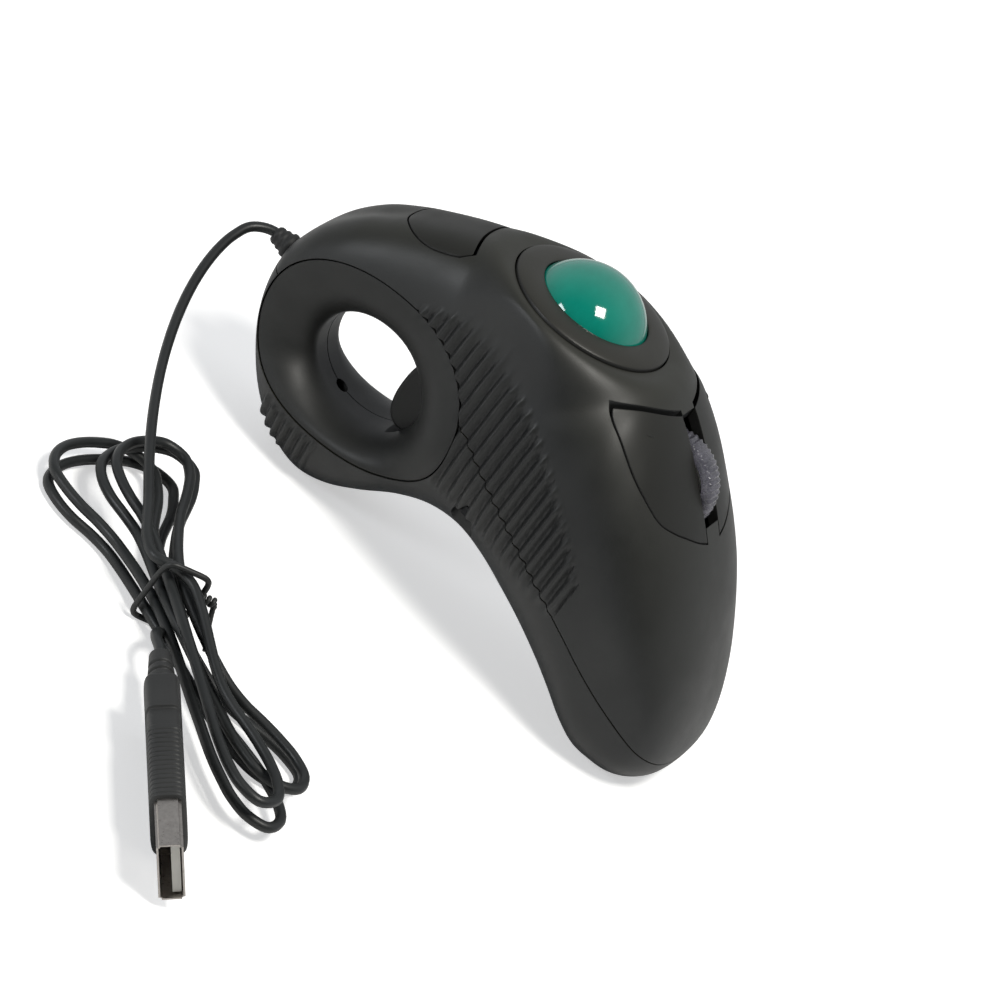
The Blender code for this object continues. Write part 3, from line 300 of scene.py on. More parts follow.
def spline(ctrl, step):
    """Catmull-Rom through control points (mm), resampled at about `step` mm."""
    c = np.array(ctrl, float)
    c = np.vstack([2 * c[0] - c[1], c, 2 * c[-1] - c[-2]])
    fine = []
    for i in range(1, len(c) - 2):
        for k in range(24):
            t = k / 24.0
            a, b, d, e = c[i - 1], c[i], c[i + 1], c[i + 2]
            # centripetal knots keep the path free of loops where points are uneven
            t0 = 0.0
            t1 = t0 + max(np.linalg.norm(b - a), 1e-6) ** .5
            t2 = t1 + max(np.linalg.norm(d - b), 1e-6) ** .5
            t3 = t2 + max(np.linalg.norm(e - d), 1e-6) ** .5
            u = t1 + (t2 - t1) * t
            a1 = (t1 - u) / (t1 - t0) * a + (u - t0) / (t1 - t0) * b
            a2 = (t2 - u) / (t2 - t1) * b + (u - t1) / (t2 - t1) * d
            a3 = (t3 - u) / (t3 - t2) * d + (u - t2) / (t3 - t2) * e
            b1 = (t2 - u) / (t2 - t0) * a1 + (u - t0) / (t2 - t0) * a2
            b2 = (t3 - u) / (t3 - t1) * a2 + (u - t1) / (t3 - t1) * a3
            fine.append((t2 - u) / (t2 - t1) * b1 + (u - t1) / (t2 - t1) * b2)
    fine.append(c[-2])
    fine = np.array(fine)
    s = np.concatenate([[0], np.cumsum(np.linalg.norm(np.diff(fine, axis=0), axis=1))])
    n = max(2, int(round(s[-1] / step)) + 1)
    t = np.linspace(0, s[-1], n)
    return np.stack([np.interp(t, s, fine[:, k]) for k in range(3)], 1)




# ------------------------------------------------------------------ body surface
S = np.array(STATIONS)
OPEN_N = np.array([0.0, -math.sin(TILT), math.cos(TILT)])
OPEN_C = np.array([0.0, 0.0, OPEN_Z])
BALL_C = OPEN_C - SINK * OPEN_N


def smoothstep(t):
    t = np.clip(t, 0.0, 1.0)
    return t * t * (3 - 2 * t)


def station_rows(t):
    g0 = S[1].copy()
    g0[[0, 1, 2, 3]] = S[1][[2, 3, 0, 1]]
    g0[4] = -S[1][4]
    g1 = S[-2].copy()
    g1[[0, 1, 2, 3]] = S[-2][[2, 3, 0, 1]]
    g1[4] = -S[-2][4]
    rows = np.vstack([g0, S, g1])
    i = np.clip(np.floor(t).astype(int), 0, len(rows) - 4)
    f = (t - i)[:, None]
    a, b, c, d = rows[i], rows[i + 1], rows[i + 2], rows[i + 3]
    return .5 * ((2 * b) + (-a + c) * f + (2 * a - 5 * b + 4 * c - d) * f * f
                 + (-a + 3 * b - 3 * c + d) * f ** 3)


def even_angles(n):
    """section angles that space the points evenly round the section."""
    t = np.linspace(0, 2 * math.pi, 8001)
    c, s = np.cos(t), np.sin(t)
    x, y = np.sign(c) * np.abs(c) ** .76, 1.15 * np.sign(s) * np.abs(s) ** .76
    L = np.concatenate([[0], np.cumsum(np.hypot(np.diff(x), np.diff(y)))])
    return np.interp(np.arange(n) * L[-1] / n, L, t)


def body_grid(ts, th):
    q = station_rows(np.asarray(ts, float))
    ct, st = np.cos(th)[None, :], np.sin(th)[None, :]
    ct, st = np.where(np.abs(ct) < 1e-9, 0, ct), np.where(np.abs(st) < 1e-9, 0, st)
    top, bot = q[:, None, 0:2], q[:, None, 2:4]
    mid = bot + (top - bot) * q[:, None, 5:6]
    p = np.where(st >= 0, q[:, 6:7], q[:, 7:8])
    x = q[:, 4:5] * np.sign(ct) * np.abs(ct) ** (2 / p)
    h = (np.abs(st) ** (2 / p))[..., None]
    yz = mid + np.where(st[..., None] >= 0, top - mid, bot - mid) * h
    g = np.concatenate([x[..., None], yz], -1)
    up = np.clip(st, 0, 1) ** .5
    win = smoothstep((g[..., 1] + 51) / 5) * (1 - smoothstep((g[..., 1] + 42) / 8))
    g[..., 2] -= 0.9 * np.exp(-(g[..., 0] / 4.5) ** 2) * win * up
    d = g - OPEN_C
    hh = d @ OPEN_N
    rho = np.linalg.norm(d - hh[..., None] * OPEN_N, axis=-1)
    w = (1 - smoothstep((rho - 17.2) / (BAND_R - 17.2))) * np.where(st > 0.05, 1.0, 0.0) * smoothstep((hh + 14) / 5.0)
    g += (w * (-1.5 - hh))[..., None] * OPEN_N
    g[..., 2] = np.maximum(g[..., 2], 0.0)
    return g


def grid_normals(g):
    du = np.gradient(g, axis=0)
    dv = (np.roll(g, -1, 1) - np.roll(g, 1, 1))
    nn = np.cross(dv, du)
    nn[0] = (0, -1, 0)
    nn[-1] = (0, 1, -.2)
    nn /= np.maximum(np.linalg.norm(nn, axis=-1, keepdims=True), 1e-9)
    mid = g.mean(1, keepdims=True)
    sgn = np.sign(((g - mid) * nn).sum(-1, keepdims=True))
    sgn[0] = sgn[-1] = 1
    return nn * np.where(sgn == 0, 1, sgn)


def grid_bm(g):
    bm = bmesh.new()
    n, m = g.shape[:2]
    rows = [[bm.verts.new(P(*g[i, j])) for j in range(m)] for i in range(1, n - 1)]
    a, b = bm.verts.new(P(*g[0, 0])), bm.verts.new(P(*g[-1, 0]))
    for j in range(m):
        k = (j + 1) % m
        bm.faces.new((a, rows[0][j], rows[0][k]))
        bm.faces.new((b, rows[-1][k], rows[-1][j]))
        for i in range(len(rows) - 1):
            bm.faces.new((rows[i][j], rows[i + 1][j], rows[i + 1][k], rows[i][k]))
    return bm


# ribs: grip ridges down both sides, and a short row across the front underside of the ring
PITCH = 2.55
RIB_CREST_Y = -9.0                                             # the rib ends follow an arch, highest here,
RIB_CREST_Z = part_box("upper_shell")[1][2] / MM - 10.2          # this far under the casing's highest point
RIB_FOOT_Z = RIB_CREST_Z * .43


def rib_top(y):
    d = y - RIB_CREST_Y
    return RIB_CREST_Z - np.where(d < 0, .030, .0119) * d * d


def seam_low(y):
    """height of the ring's seam along its lower side."""
    f = np.clip(np.abs((y - RING_C[0]) / RING_A[0]), 0, .98)
    return RING_C[1] + math.tan(RING_TILT) * (y - RING_C[0]) - RING_A[1] * (1 - f ** RING_POW) ** (1 / RING_POW)


def ribs(g):
    y, z, ax = g[..., 1], g[..., 2], np.abs(g[..., 0])
    yc = 1.1 + PITCH * np.round((y - 1.1) / PITCH)
    u = (y - yc) / (PITCH / 2)
    crown = .5 + .5 * np.cos(math.pi * u)
    top = rib_top(yc)
    low = RIB_FOOT_Z
    m = smoothstep((top - z) / 1.1 - .9 * (1 - crown)) * smoothstep((z - low) / 3.0)
    m = m * ((yc > -24.9) & (yc < 33.2)) * (ax > 8)
    h = m * (1.0 * crown ** .9 - 0.42)
    # ring ribs
    yc = -36.2 + 2.05 * np.round((y + 36.2) / 2.05)
    c2 = .5 + .5 * np.cos(math.pi * (y - yc) / 1.025)
    seam = seam_low(yc)
    m2 = smoothstep((seam - .5 - z) / .8) * smoothstep((z - 2.2) / 1.6) * ((yc > -36.5) & (yc < -23.5))
    return h + m2 * .85 * c2 ** .8 - m2 * .15


T_OUT = np.concatenate([[0, .2, .4, .6, .8], np.arange(1, 3.5, .06), np.arange(3.5, 19.2, .045), np.arange(19.2, 22.9, .09), [23.1, 23.4, 23.7, 24.0]])
TH = even_angles(184)
G = body_grid(T_OUT, TH)
GN = grid_normals(G)
outer_plain = body_grid(np.concatenate([[0, .4, .8], np.arange(1, 22.9, .25), [23.3, 24.0]]), even_angles(96))
bvh_bm = grid_bm(outer_plain)
bmesh.ops.recalc_face_normals(bvh_bm, faces=bvh_bm.faces)
BODY = BVHTree.FromBMesh(bvh_bm)
G = G + ribs(G)[..., None] * GN
G[..., 2] = np.maximum(G[..., 2], 0.0)
outer_me = from_bm("body_outer", grid_bm(G))
g_in = body_grid(np.concatenate([[0], np.arange(1, 22.9, .6), [24.0]]), even_angles(64))
g_in = g_in - WALL * grid_normals(g_in)
g_in[..., 2] = np.maximum(g_in[..., 2], WALL)
inner_me = from_bm("body_inner", grid_bm(g_in))
hollow = boolean(copy(outer_me, "hollow"), [inner_me])


def side_x(y, z):
    hit = BODY.ray_cast(P(60, y, z), Vector((-1, 0, 0)))
    return hit[0].x / MM if hit[0] is not None else 11.0


def top_z(x, y):
    hit = BODY.ray_cast(P(x, y, 90), Vector((0, 0, -1)))
    return hit[0].z / MM


def ring_outline(grow, n=36):
    """the ring's seam, evenly spaced and moved outwards by grow (y, z)."""
    ca, sa = math.cos(RING_TILT), math.sin(RING_TILT)
    fine = []
    for k in range(720):
        t = 2 * math.pi * k / 720
        a = math.copysign(abs(math.cos(t)) ** (2 / RING_POW), math.cos(t)) * RING_A[0]
        b = math.copysign(abs(math.sin(t)) ** (2 / RING_POW), math.sin(t)) * RING_A[1]
        fine.append(np.array([RING_C[0] + ca * a - sa * b, RING_C[1] + sa * a + ca * b]))
    fine = np.array(fine + [fine[0]])
    s = np.concatenate([[0], np.cumsum(np.linalg.norm(np.diff(fine, axis=0), axis=1))])
    t = np.arange(n) * s[-1] / n
    q = np.stack([np.interp(t, s, fine[:, k]) for k in range(2)], 1)
    g = np.roll(q, -1, 0) - np.roll(q, 1, 0)
    g /= np.linalg.norm(g, axis=1, keepdims=True)
    return [tuple(v) for v in q + grow * np.stack([g[:, 1], -g[:, 0]], 1)]


def parted(shift, down):
    line = [(y, z + shift) for y, z in PARTING]
    far = -20.0 if down else 110.0
    return line + [(line[-1][0], far), (line[0][0], far)]


def arc(cx, cy, r, a0, a1, n):
    return [(cx + r * math.cos(math.radians(a0 + (a1 - a0) * k / (n - 1))),
             cy + r * math.sin(math.radians(a0 + (a1 - a0) * k / (n - 1)))) for k in range(n)]


def offset_outline(pts, d):
    """shrink (d>0) a convex-ish outline of (x, y), counter-clockwise."""
    n, out = len(pts), []
    for i in range(n):
        a, b, c = (np.array(pts[k % n]) for k in (i - 1, i, i + 1))
        e1, e2 = b - a, c - b
        n1 = np.array([-e1[1], e1[0]]) / np.linalg.norm(e1)
        n2 = np.array([-e2[1], e2[0]]) / np.linalg.norm(e2)
        m = n1 + n2
        m /= np.linalg.norm(m)
        out.append(tuple(b + m * d / max(0.5, m @ n1)))
    return out



def chain(pts, sub=6):
    """smooth open chain through plan points."""
    q = np.array(spline([(a, b, 0.0) for a, b in pts], 0.8))
    return [(float(v[0]), float(v[1])) for v in q]


def rear_outline(front):
    edge = []
    for k in range(25):
        f = k / 24.0
        a = math.radians(42.8 + 2.4 * front + (83.8 - 42.8 - 2.4 * front) * f)
        r = 22.6 + 2.3 * f + front
        edge.append((r * math.cos(a), r * math.sin(a)))
    edge[-1] = (BTN_X, edge[-1][1])
    edge = edge[::-1]
    outer = chain([edge[-1], (17.5, 16.9 + .5 * front), (18.35, 19.4), (19.0, 24.7), (18.5, 30.4), (16.4, 36.2), (13.4, 39.3),
                   (9.7, 41.6), (6.2, 43.2), (BTN_X, 44.2)])
    return edge + outer[1:]


def mirrored(outline):
    return [(-x, y) for x, y in outline][::-1]


def offset_outline(pts, d):
    n, out = len(pts), []
    for i in range(n):
        a, b, c = (np.array(pts[k % n]) for k in (i - 1, i, (i + 1)))
        e1, e2 = b - a, c - b
        n1 = np.array([-e1[1], e1[0]]) / max(np.linalg.norm(e1), 1e-9)
        n2 = np.array([-e2[1], e2[0]]) / max(np.linalg.norm(e2), 1e-9)
        m = n1 + n2
        m /= np.linalg.norm(m)
        out.append(tuple(b + m * d / max(0.5, m @ n1)))
    return out


REAR_BTN, REAR_CAP = rear_outline(0.0), rear_outline(0.72)
FRONT_HALF, FRONT_Y, FRONT_LONG = 10.4, -25.5, 12.0
side_pts = [(9.1, -21.45), (FRONT_HALF - .1, -23.4)] + [(FRONT_HALF * math.cos(math.radians(15.0 * q)) ** .91,
                                                         FRONT_Y - FRONT_LONG * math.sin(math.radians(15.0 * q)) ** .91) for q in range(6)]
side_pts += [(0.0, FRONT_Y - FRONT_LONG)]
side_pts = [side_pts[0]] + chain(side_pts[1:] + [(-x, y) for x, y in side_pts[1:-1]][::-1]) + [(-9.1, -21.45)]
FRONT_BTN = [(23.3 * math.cos(math.radians(293 - 46 * k / 24)), 23.3 * math.sin(math.radians(293 - 46 * k / 24))) for k in range(25)]
FRONT_BTN = FRONT_BTN + side_pts[::-1][1:-1]
FRONT_REAR_R = 23.3 + GAP + .25

# ------------------------------------------------------------------ casing halves
ring_cut = prism_me("ring_cut", ring_outline(0.0, 200), -40, 40)
bezel_cut = cyl_me("bezel_cut", tuple(OPEN_C - 9 * OPEN_N), tuple(OPEN_C + 9 * OPEN_N), BEZEL_R + GAP, 160)
boot_cut = cyl_me("boot_cut", (0, -60, 31), (0, -44, 31), 2.45, 64)
slot_cut = plan_me("slot_cut", [(-SLOT_X, 25.6), (SLOT_X, 25.6), (SLOT_X, 42.0), (-SLOT_X, 42.0)], 42, 90)
upper = boolean(copy(hollow, "upper"), [prism_me("up_cut", parted(SPLIT, True), -45, 45), copy(ring_cut, "r"), bezel_cut, boot_cut,
                                        plan_me("lh", REAR_BTN, 30, 90), plan_me("rh", mirrored(REAR_BTN), 30, 90),
                                        plan_me("fh", FRONT_BTN, 44, 90), slot_cut])
lower = boolean(copy(hollow, "lower"), [prism_me("low_cut", parted(-SPLIT, False), -45, 45), copy(ring_cut, "r2"), copy(boot_cut, "b2")])
upper = keep_largest(upper)
lower = keep_largest(lower)
skin_g = outer_plain - 0.6 * grid_normals(outer_plain)
skin = from_bm("skin", grid_bm(skin_g))
for k, (sx, sy) in enumerate([(0.0, 47.5), (18.0, 8.0), (-18.0, 8.0)]):
    down = BODY.ray_cast(P(sx, sy, -20), Vector((0, 0, 1)))[0].z / MM
    split = 14.6 if k == 0 else 30.0
    post = boolean(cyl_me("post", (sx, sy, down - 4), (sx, sy, split), 3.4, 40), [copy(skin, "s")], 'INTERSECT')
    lower = boolean(lower, [post], 'UNION')
    lower = boolean(lower, [cyl_me("b", (sx, sy, -3), (sx, sy, split + 3), 1.6, 32), cyl_me("c", (sx, sy, -3), (sx, sy, down + 5.0), 2.9, 48)])

PIECES = []


def add(name, me, body, mat, sharp=32.0, smooth=True):
    ob = bpy.data.objects.new(name, me)
    bpy.context.scene.collection.objects.link(ob)
    me.materials.clear()
    me.materials.append(mat)
    if smooth:
        me.shade_smooth()
        if sharp:
            me.set_sharp_from_angle(angle=math.radians(sharp))
    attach(ob, body)
    PIECES.append(ob)
    return ob


# ------------------------------------------------------------------ materials
def nodes_of(name):
    m = bpy.data.materials.new(name)
    m.use_nodes = True
    nt = m.node_tree
    b = nt.nodes["Principled BSDF"]
    tc = nt.nodes.new("ShaderNodeTexCoord")
    return m, nt, b, tc


def noise(nt, tc, scale, detail=2.0, rough=.5, coords="Object"):
    n = nt.nodes.new("ShaderNodeTexNoise")
    n.inputs["Scale"].default_value = scale
    n.inputs["Detail"].default_value = detail
    n.inputs["Roughness"].default_value = rough
    nt.links.new(tc.outputs[coords], n.inputs["Vector"])
    return n


def ramp(nt, src, stops):
    r = nt.nodes.new("ShaderNodeValToRGB")
    e = r.color_ramp.elements
    while len(e) < len(stops):
        e.new(.5)
    for k, (p, c) in enumerate(stops):
        e[k].position = p
        e[k].color = (*c, 1.0) if len(c) == 3 else c
    nt.links.new(src, r.inputs["Fac"])
    return r


def rng(nt, src, lo, hi, a=0.0, b=1.0):
    r = nt.nodes.new("ShaderNodeMapRange")
    r.inputs["From Min"].default_value = a
    r.inputs["From Max"].default_value = b
    r.inputs["To Min"].default_value = lo
    r.inputs["To Max"].default_value = hi
    nt.links.new(src, r.inputs["Value"])
    return r


def moulded(name, dark, light, rough=(.36, .5), grain=5200.0, bump=.25, depth=2.2e-5, spec=.5, edge=.00022, wear=.0, painted_top_light=None, cloud=35.0):
    """moulded plastic: a fine spark-eroded grain, faint cloudiness and slightly worn, softened edges."""
    m, nt, b, tc = nodes_of(name)
    cl = noise(nt, tc, cloud, 4.0, .6)
    col = ramp(nt, cl.outputs["Fac"], [(.32, dark), (.70, light)])
    base = col.outputs["Color"]
    gr = noise(nt, tc, grain, 3.0, .65)
    gr2 = noise(nt, tc, grain * 2.6, 2.0, .6)
    # painted top light: the more a surface faces upwards, the more its colour is mixed toward a lighter olive, standing
    # in for the sheen of the warm overhead light
    if painted_top_light:
        geo = nt.nodes.new("ShaderNodeNewGeometry")
        sep = nt.nodes.new("ShaderNodeSeparateXYZ")
        nt.links.new(geo.outputs["Normal"], sep.inputs["Vector"])
        f = rng(nt, sep.outputs["Z"], 0.0, 1.0, .25, .95)
        mix = nt.nodes.new("ShaderNodeMix")
        mix.data_type = 'RGBA'
        nt.links.new(f.outputs["Result"], mix.inputs["Factor"])
        nt.links.new(base, mix.inputs["A"])
        mix.inputs["B"].default_value = (*painted_top_light, 1.0)
        base = mix.outputs["Result"]
    if wear:
        geo2 = nt.nodes.new("ShaderNodeNewGeometry")
        w = rng(nt, geo2.outputs["Pointiness"], 0.0, wear, .53, .62)
        mix2 = nt.nodes.new("ShaderNodeMix")
        mix2.data_type = 'RGBA'
        nt.links.new(w.outputs["Result"], mix2.inputs["Factor"])
        nt.links.new(base, mix2.inputs["A"])
        mix2.inputs["B"].default_value = (.16, .165, .17, 1.0)
        base = mix2.outputs["Result"]
    nt.links.new(base, b.inputs["Base Color"])
    rr = noise(nt, tc, 90.0, 3.0, .6)
    add_n = nt.nodes.new("ShaderNodeMath")
    add_n.operation = 'ADD'
    r1 = rng(nt, rr.outputs["Fac"], rough[0], rough[1], .3, .7)
    r2 = rng(nt, gr2.outputs["Fac"], -.06, .06, .3, .7)
    nt.links.new(r1.outputs["Result"], add_n.inputs[0])
    nt.links.new(r2.outputs["Result"], add_n.inputs[1])
    nt.links.new(add_n.outputs["Value"], b.inputs["Roughness"])
    b.inputs["Specular IOR Level"].default_value = spec
    bp = nt.nodes.new("ShaderNodeBump")
    bp.inputs["Strength"].default_value = bump
    bp.inputs["Distance"].default_value = depth
    nt.links.new(gr.outputs["Fac"], bp.inputs["Height"])
    if edge:
        bev = nt.nodes.new("ShaderNodeBevel")
        bev.samples = 4
        bev.inputs["Radius"].default_value = edge
        nt.links.new(bev.outputs["Normal"], bp.inputs["Normal"])
    nt.links.new(bp.outputs["Normal"], b.inputs["Normal"])
    return m


# the casing, button and bezel carry a painted top light: their upward-facing surfaces are mixed toward a lighter olive
M_CASE = moulded("satin_black_casing", (.010, .0108, .0112), (.0175, .0185, .0180), rough=(.40, .50), painted_top_light=(.024, .024, .018), bump=.55, depth=3.0e-5)
M_LINER = moulded("matte_liner", (.016, .0168, .0165), (.022, .0226, .0215), rough=(.46, .56), grain=4600, bump=.5, depth=2.6e-5, spec=.45)
M_BTN = moulded("satin_button", (.010, .0102, .0100), (.0150, .0152, .0140), rough=(.40, .50), bump=.4, depth=2.2e-5, spec=.4, painted_top_light=(.016, .016, .0125))
M_TRIG = moulded("trigger_black", (.008, .0084, .0084), (.013, .0134, .0130), rough=(.40, .52), bump=.4, spec=.45)
M_BEZEL = moulded("bezel_satin", (.012, .0122, .0115), (.018, .0182, .0160), rough=(.38, .46), bump=.4, depth=2.0e-5, painted_top_light=(.022, .021, .0155), spec=.5)
M_BOOT = moulded("boot_rubber", (.012, .0124, .0126), (.018, .0186, .0186), rough=(.5, .62), bump=.4)
M_PLUG = moulded("plug_rubber", (.020, .0205, .0205), (.032, .0328, .0320), rough=(.45, .58), grain=4200, bump=.6, depth=3e-5)
M_CABLE = moulded("cable_jacket", (.013, .0145, .0148), (.020, .0222, .0222), rough=(.36, .5), grain=3500, bump=.35, edge=0, cloud=60.0)
M_TIE = moulded("tie_jacket", (.014, .0150, .0150), (.024, .0252, .0246), rough=(.4, .55), grain=2500, bump=.4, edge=0)
M_NYLON = moulded("natural_nylon", (.62, .61, .56), (.74, .73, .68), rough=(.42, .55), bump=.2, edge=.0001)
M_GREYP = moulded("grey_moulding", (.20, .20, .20), (.30, .30, .295), rough=(.42, .55), bump=.3)
M_CHIP = moulded("moulded_epoxy", (.008, .008, .009), (.016, .016, .016), rough=(.45, .6), grain=4000, bump=.5)


def glossy_ball():
    m, nt, b, tc = nodes_of("polished_teal")
    sw = noise(nt, tc, 70.0, 6.0, .7)
    dist = nt.nodes.new("ShaderNodeMapping")
    dist.inputs["Scale"].default_value = (1.0, 1.6, .7)
    nt.links.new(tc.outputs["Object"], dist.inputs["Vector"])
    nt.links.new(dist.outputs["Vector"], sw.inputs["Vector"])
    col = ramp(nt, sw.outputs["Fac"], [(.25, (.0030, .205, .150)), (.75, (.0045, .262, .192))])
    nt.links.new(col.outputs["Color"], b.inputs["Base Color"])
    sc = noise(nt, tc, 900.0, 4.0, .7)
    r = rng(nt, sc.outputs["Fac"], .055, .13, .35, .75)
    nt.links.new(r.outputs["Result"], b.inputs["Roughness"])
    b.inputs["Coat Weight"].default_value = .6
    b.inputs["Coat Roughness"].default_value = .03
    b.inputs["Subsurface Weight"].default_value = .08
    b.inputs["Subsurface Radius"].default_value = (.0004, .0016, .0014)
    bp = nt.nodes.new("ShaderNodeBump")
    bp.inputs["Strength"].default_value = .04
    bp.inputs["Distance"].default_value = 1e-5
    nt.links.new(sc.outputs["Fac"], bp.inputs["Height"])
    nt.links.new(bp.outputs["Normal"], b.inputs["Normal"])
    return m


def smoky():
    m, nt, b, tc = nodes_of("smoky_elastomer")
    n = noise(nt, tc, 420.0, 4.0, .65)
    col = ramp(nt, n.outputs["Fac"], [(.3, (.10, .10, .125)), (.7, (.30, .29, .34))])
    nt.links.new(col.outputs["Color"], b.inputs["Base Color"])
    r = rng(nt, n.outputs["Fac"], .16, .34, .3, .7)
    nt.links.new(r.outputs["Result"], b.inputs["Roughness"])
    b.inputs["Transmission Weight"].default_value = .55
    b.inputs["IOR"].default_value = 1.46
    bp = nt.nodes.new("ShaderNodeBump")
    bp.inputs["Strength"].default_value = .12
    bp.inputs["Distance"].default_value = 5e-5
    nt.links.new(n.outputs["Fac"], bp.inputs["Height"])
    nt.links.new(bp.outputs["Normal"], b.inputs["Normal"])
    return m


def metal(name, a, c, rough=(.2, .34), streak=(1.0, 1.0, 12.0), scale=900.0):
    m, nt, b, tc = nodes_of(name)
    mp = nt.nodes.new("ShaderNodeMapping")
    mp.inputs["Scale"].default_value = streak
    nt.links.new(tc.outputs["Object"], mp.inputs["Vector"])
    n = noise(nt, tc, scale, 4.0, .6)
    nt.links.new(mp.outputs["Vector"], n.inputs["Vector"])
    col = ramp(nt, n.outputs["Fac"], [(.3, a), (.7, c)])
    nt.links.new(col.outputs["Color"], b.inputs["Base Color"])
    b.inputs["Metallic"].default_value = 1.0
    r = rng(nt, n.outputs["Fac"], rough[0], rough[1], .3, .7)
    nt.links.new(r.outputs["Result"], b.inputs["Roughness"])
    bev = nt.nodes.new("ShaderNodeBevel")
    bev.samples = 4
    bev.inputs["Radius"].default_value = .00015
    bp = nt.nodes.new("ShaderNodeBump")
    bp.inputs["Strength"].default_value = .12
    bp.inputs["Distance"].default_value = 1e-5
    nt.links.new(n.outputs["Fac"], bp.inputs["Height"])
    nt.links.new(bev.outputs["Normal"], bp.inputs["Normal"])
    nt.links.new(bp.outputs["Normal"], b.inputs["Normal"])
    return m


def board():
    m, nt, b, tc = nodes_of("solder_resist")
    v = nt.nodes.new("ShaderNodeTexVoronoi")
    v.feature = 'DISTANCE_TO_EDGE'
    v.inputs["Scale"].default_value = 420.0
    nt.links.new(tc.outputs["Object"], v.inputs["Vector"])
    col = ramp(nt, v.outputs["Distance"], [(.03, (.012, .10, .04)), (.06, (.006, .055, .022))])
    nt.links.new(col.outputs["Color"], b.inputs["Base Color"])
    n = noise(nt, tc, 2500.0, 2.0)
    r = rng(nt, n.outputs["Fac"], .3, .45, .3, .7)
    nt.links.new(r.outputs["Result"], b.inputs["Roughness"])
    return m


M_BALL = glossy_ball()
M_WHEEL = smoky()
M_STEEL = metal("turned_steel", (.50, .50, .51), (.62, .62, .63))
M_SCREW = metal("black_zinc_screw", (.020, .021, .022), (.045, .046, .048), rough=(.35, .5))
M_SHELL = metal("nickel_shell", (.37, .345, .32), (.50, .47, .44), rough=(.26, .42), streak=(3, 3, 3), scale=500.0)
M_CAN = metal("drawn_can", (.60, .60, .60), (.72, .72, .72))
M_BOARD = board()
SLOT_MAT = {"casing": M_CASE, "liner": M_LINER, "ball": M_BALL, "bezel": M_BEZEL, "button": M_BTN, "wheel": M_WHEEL, "nylon": M_NYLON,
            "grey_plastic": M_GREYP, "steel": M_STEEL, "board": M_BOARD, "chip": M_CHIP, "can": M_CAN, "cable": M_CABLE,
            "plug_body": M_PLUG, "plug_metal": M_SHELL}
for sp in frame["record"]["subparts"]:
    ob = NODES[sp["node"]]
    ob.data.materials.clear()
    ob.data.materials.append(SLOT_MAT[sp["material_slot"]])

for k in ("rear", "left", "right"):
    NODES["casing_screw_" + k].data.materials[0] = M_SCREW

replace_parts(add("casing_upper", upper, "casing", M_CASE), "upper_shell")
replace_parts(add("casing_lower", lower, "casing", M_CASE), "lower_shell")


# ------------------------------------------------------------------ buttons
def cap(name, outline, body, node, front, post):
    me = boolean(copy(hollow, name), [plan_me("keep", offset_outline(outline, GAP), 44 if front else 30, 90)], 'INTERSECT')
    if front:
        me = boolean(me, [cyl_me("swing", (0, 0, 20), (0, 0, 95), FRONT_REAR_R, 200)])
    me = keep_largest(me)
    px, py, pr, pz = post
    me = boolean(me, [cyl_me("stem", (px, py, pz), (px, py, top_z(px, py) - 1.0), pr, 32)], 'UNION')
    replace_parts(add(name, me, body, M_BTN), node)


cap("thumb_button_left", REAR_CAP, "left_button", "button_left", False, (12.5, 23.6, 1.7, 43.4))
cap("thumb_button_right", mirrored(REAR_CAP), "right_button", "button_right", False, (-12.5, 23.6, 1.7, 43.4))
cap("top_button_front", FRONT_BTN, "front_button", "button_front", True, (0.0, -26.5, 1.6, 53.2))


# ------------------------------------------------------------------ ring liners
def liner(name, side):
    n, m = 168, 22
    rows = []
    for q in ring_outline(-GAP, n):
        e = np.array(q)
        a = math.atan2((e[1] - RING_C[1]) / 18.0, (e[0] - RING_C[0]) / 24.0)
        t = np.array([THROAT_C[0] + THROAT_A[0] * math.cos(a), THROAT_C[1] + THROAT_A[1] * math.sin(a)])
        xs = side_x(*(e + (e - RING_C) / np.linalg.norm(e - RING_C) * 0.3)) - 0.12
        row = []
        for j in range(m + 1):
            f = math.radians(90.0 * j / m)
            yz = e + (t - e) * math.sin(f)
            row.append((THROAT_X + (xs - THROAT_X) * math.cos(f), yz[0], yz[1]))
        row.append((2.0, t[0], t[1]))
        row.append((0.14, t[0], t[1]))
        rows.append(row)
    bm = bmesh.new()
    vs = [[bm.verts.new(P(side * p[0], p[1], p[2])) for p in row] for row in rows]
    for k in range(n):
        for j in range(m + 2):
            q = (vs[k][j], vs[(k + 1) % n][j], vs[(k + 1) % n][j + 1], vs[k][j + 1])
            bm.faces.new(q if side > 0 else q[::-1])
    me = bpy.data.meshes.new(name)
    bm.to_mesh(me)
    bm.free()
    ob = bpy.data.objects.new("work", me)
    work.objects.link(ob)
    md = ob.modifiers.new("s", 'SOLIDIFY')
    md.thickness = 1.6 * MM
    md.offset = -1.0
    dg = bpy.context.evaluated_depsgraph_get()
    dg.update()
    out = bpy.data.meshes.new_from_object(ob.evaluated_get(dg))
    bpy.data.objects.remove(ob, do_unlink=True)
    bm = bmesh.new()
    bm.from_mesh(out)
    out = from_bm(name, bm)
    out = boolean(out, [prism_me("room", ring_outline(-GAP + .02, 168), -40, 40)], 'INTERSECT')
    far = box_me("far", *((-60, 0.13) if side > 0 else (-0.13, 60)), -80, 20, -20, 90)
    c, d = np.array([-24.9, 25.9]), np.array([-3.9, -9.7]) / math.hypot(3.9, 9.7)
    out = boolean(out, [far, box_me("slot", -6.7, 6.7, -19.6, -4.0, 18.9, 39.4),
                        cyl_me("hole", (0, *(c + d * 7.5)), (0, *(c + d * 14.5)), 1.45, 32)])
    return keep_largest(out)


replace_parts(add("ring_lining_left", liner("l", 1), "casing", M_LINER), "ring_liner_left")
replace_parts(add("ring_lining_right", liner("r", -1), "casing", M_LINER), "ring_liner_right")

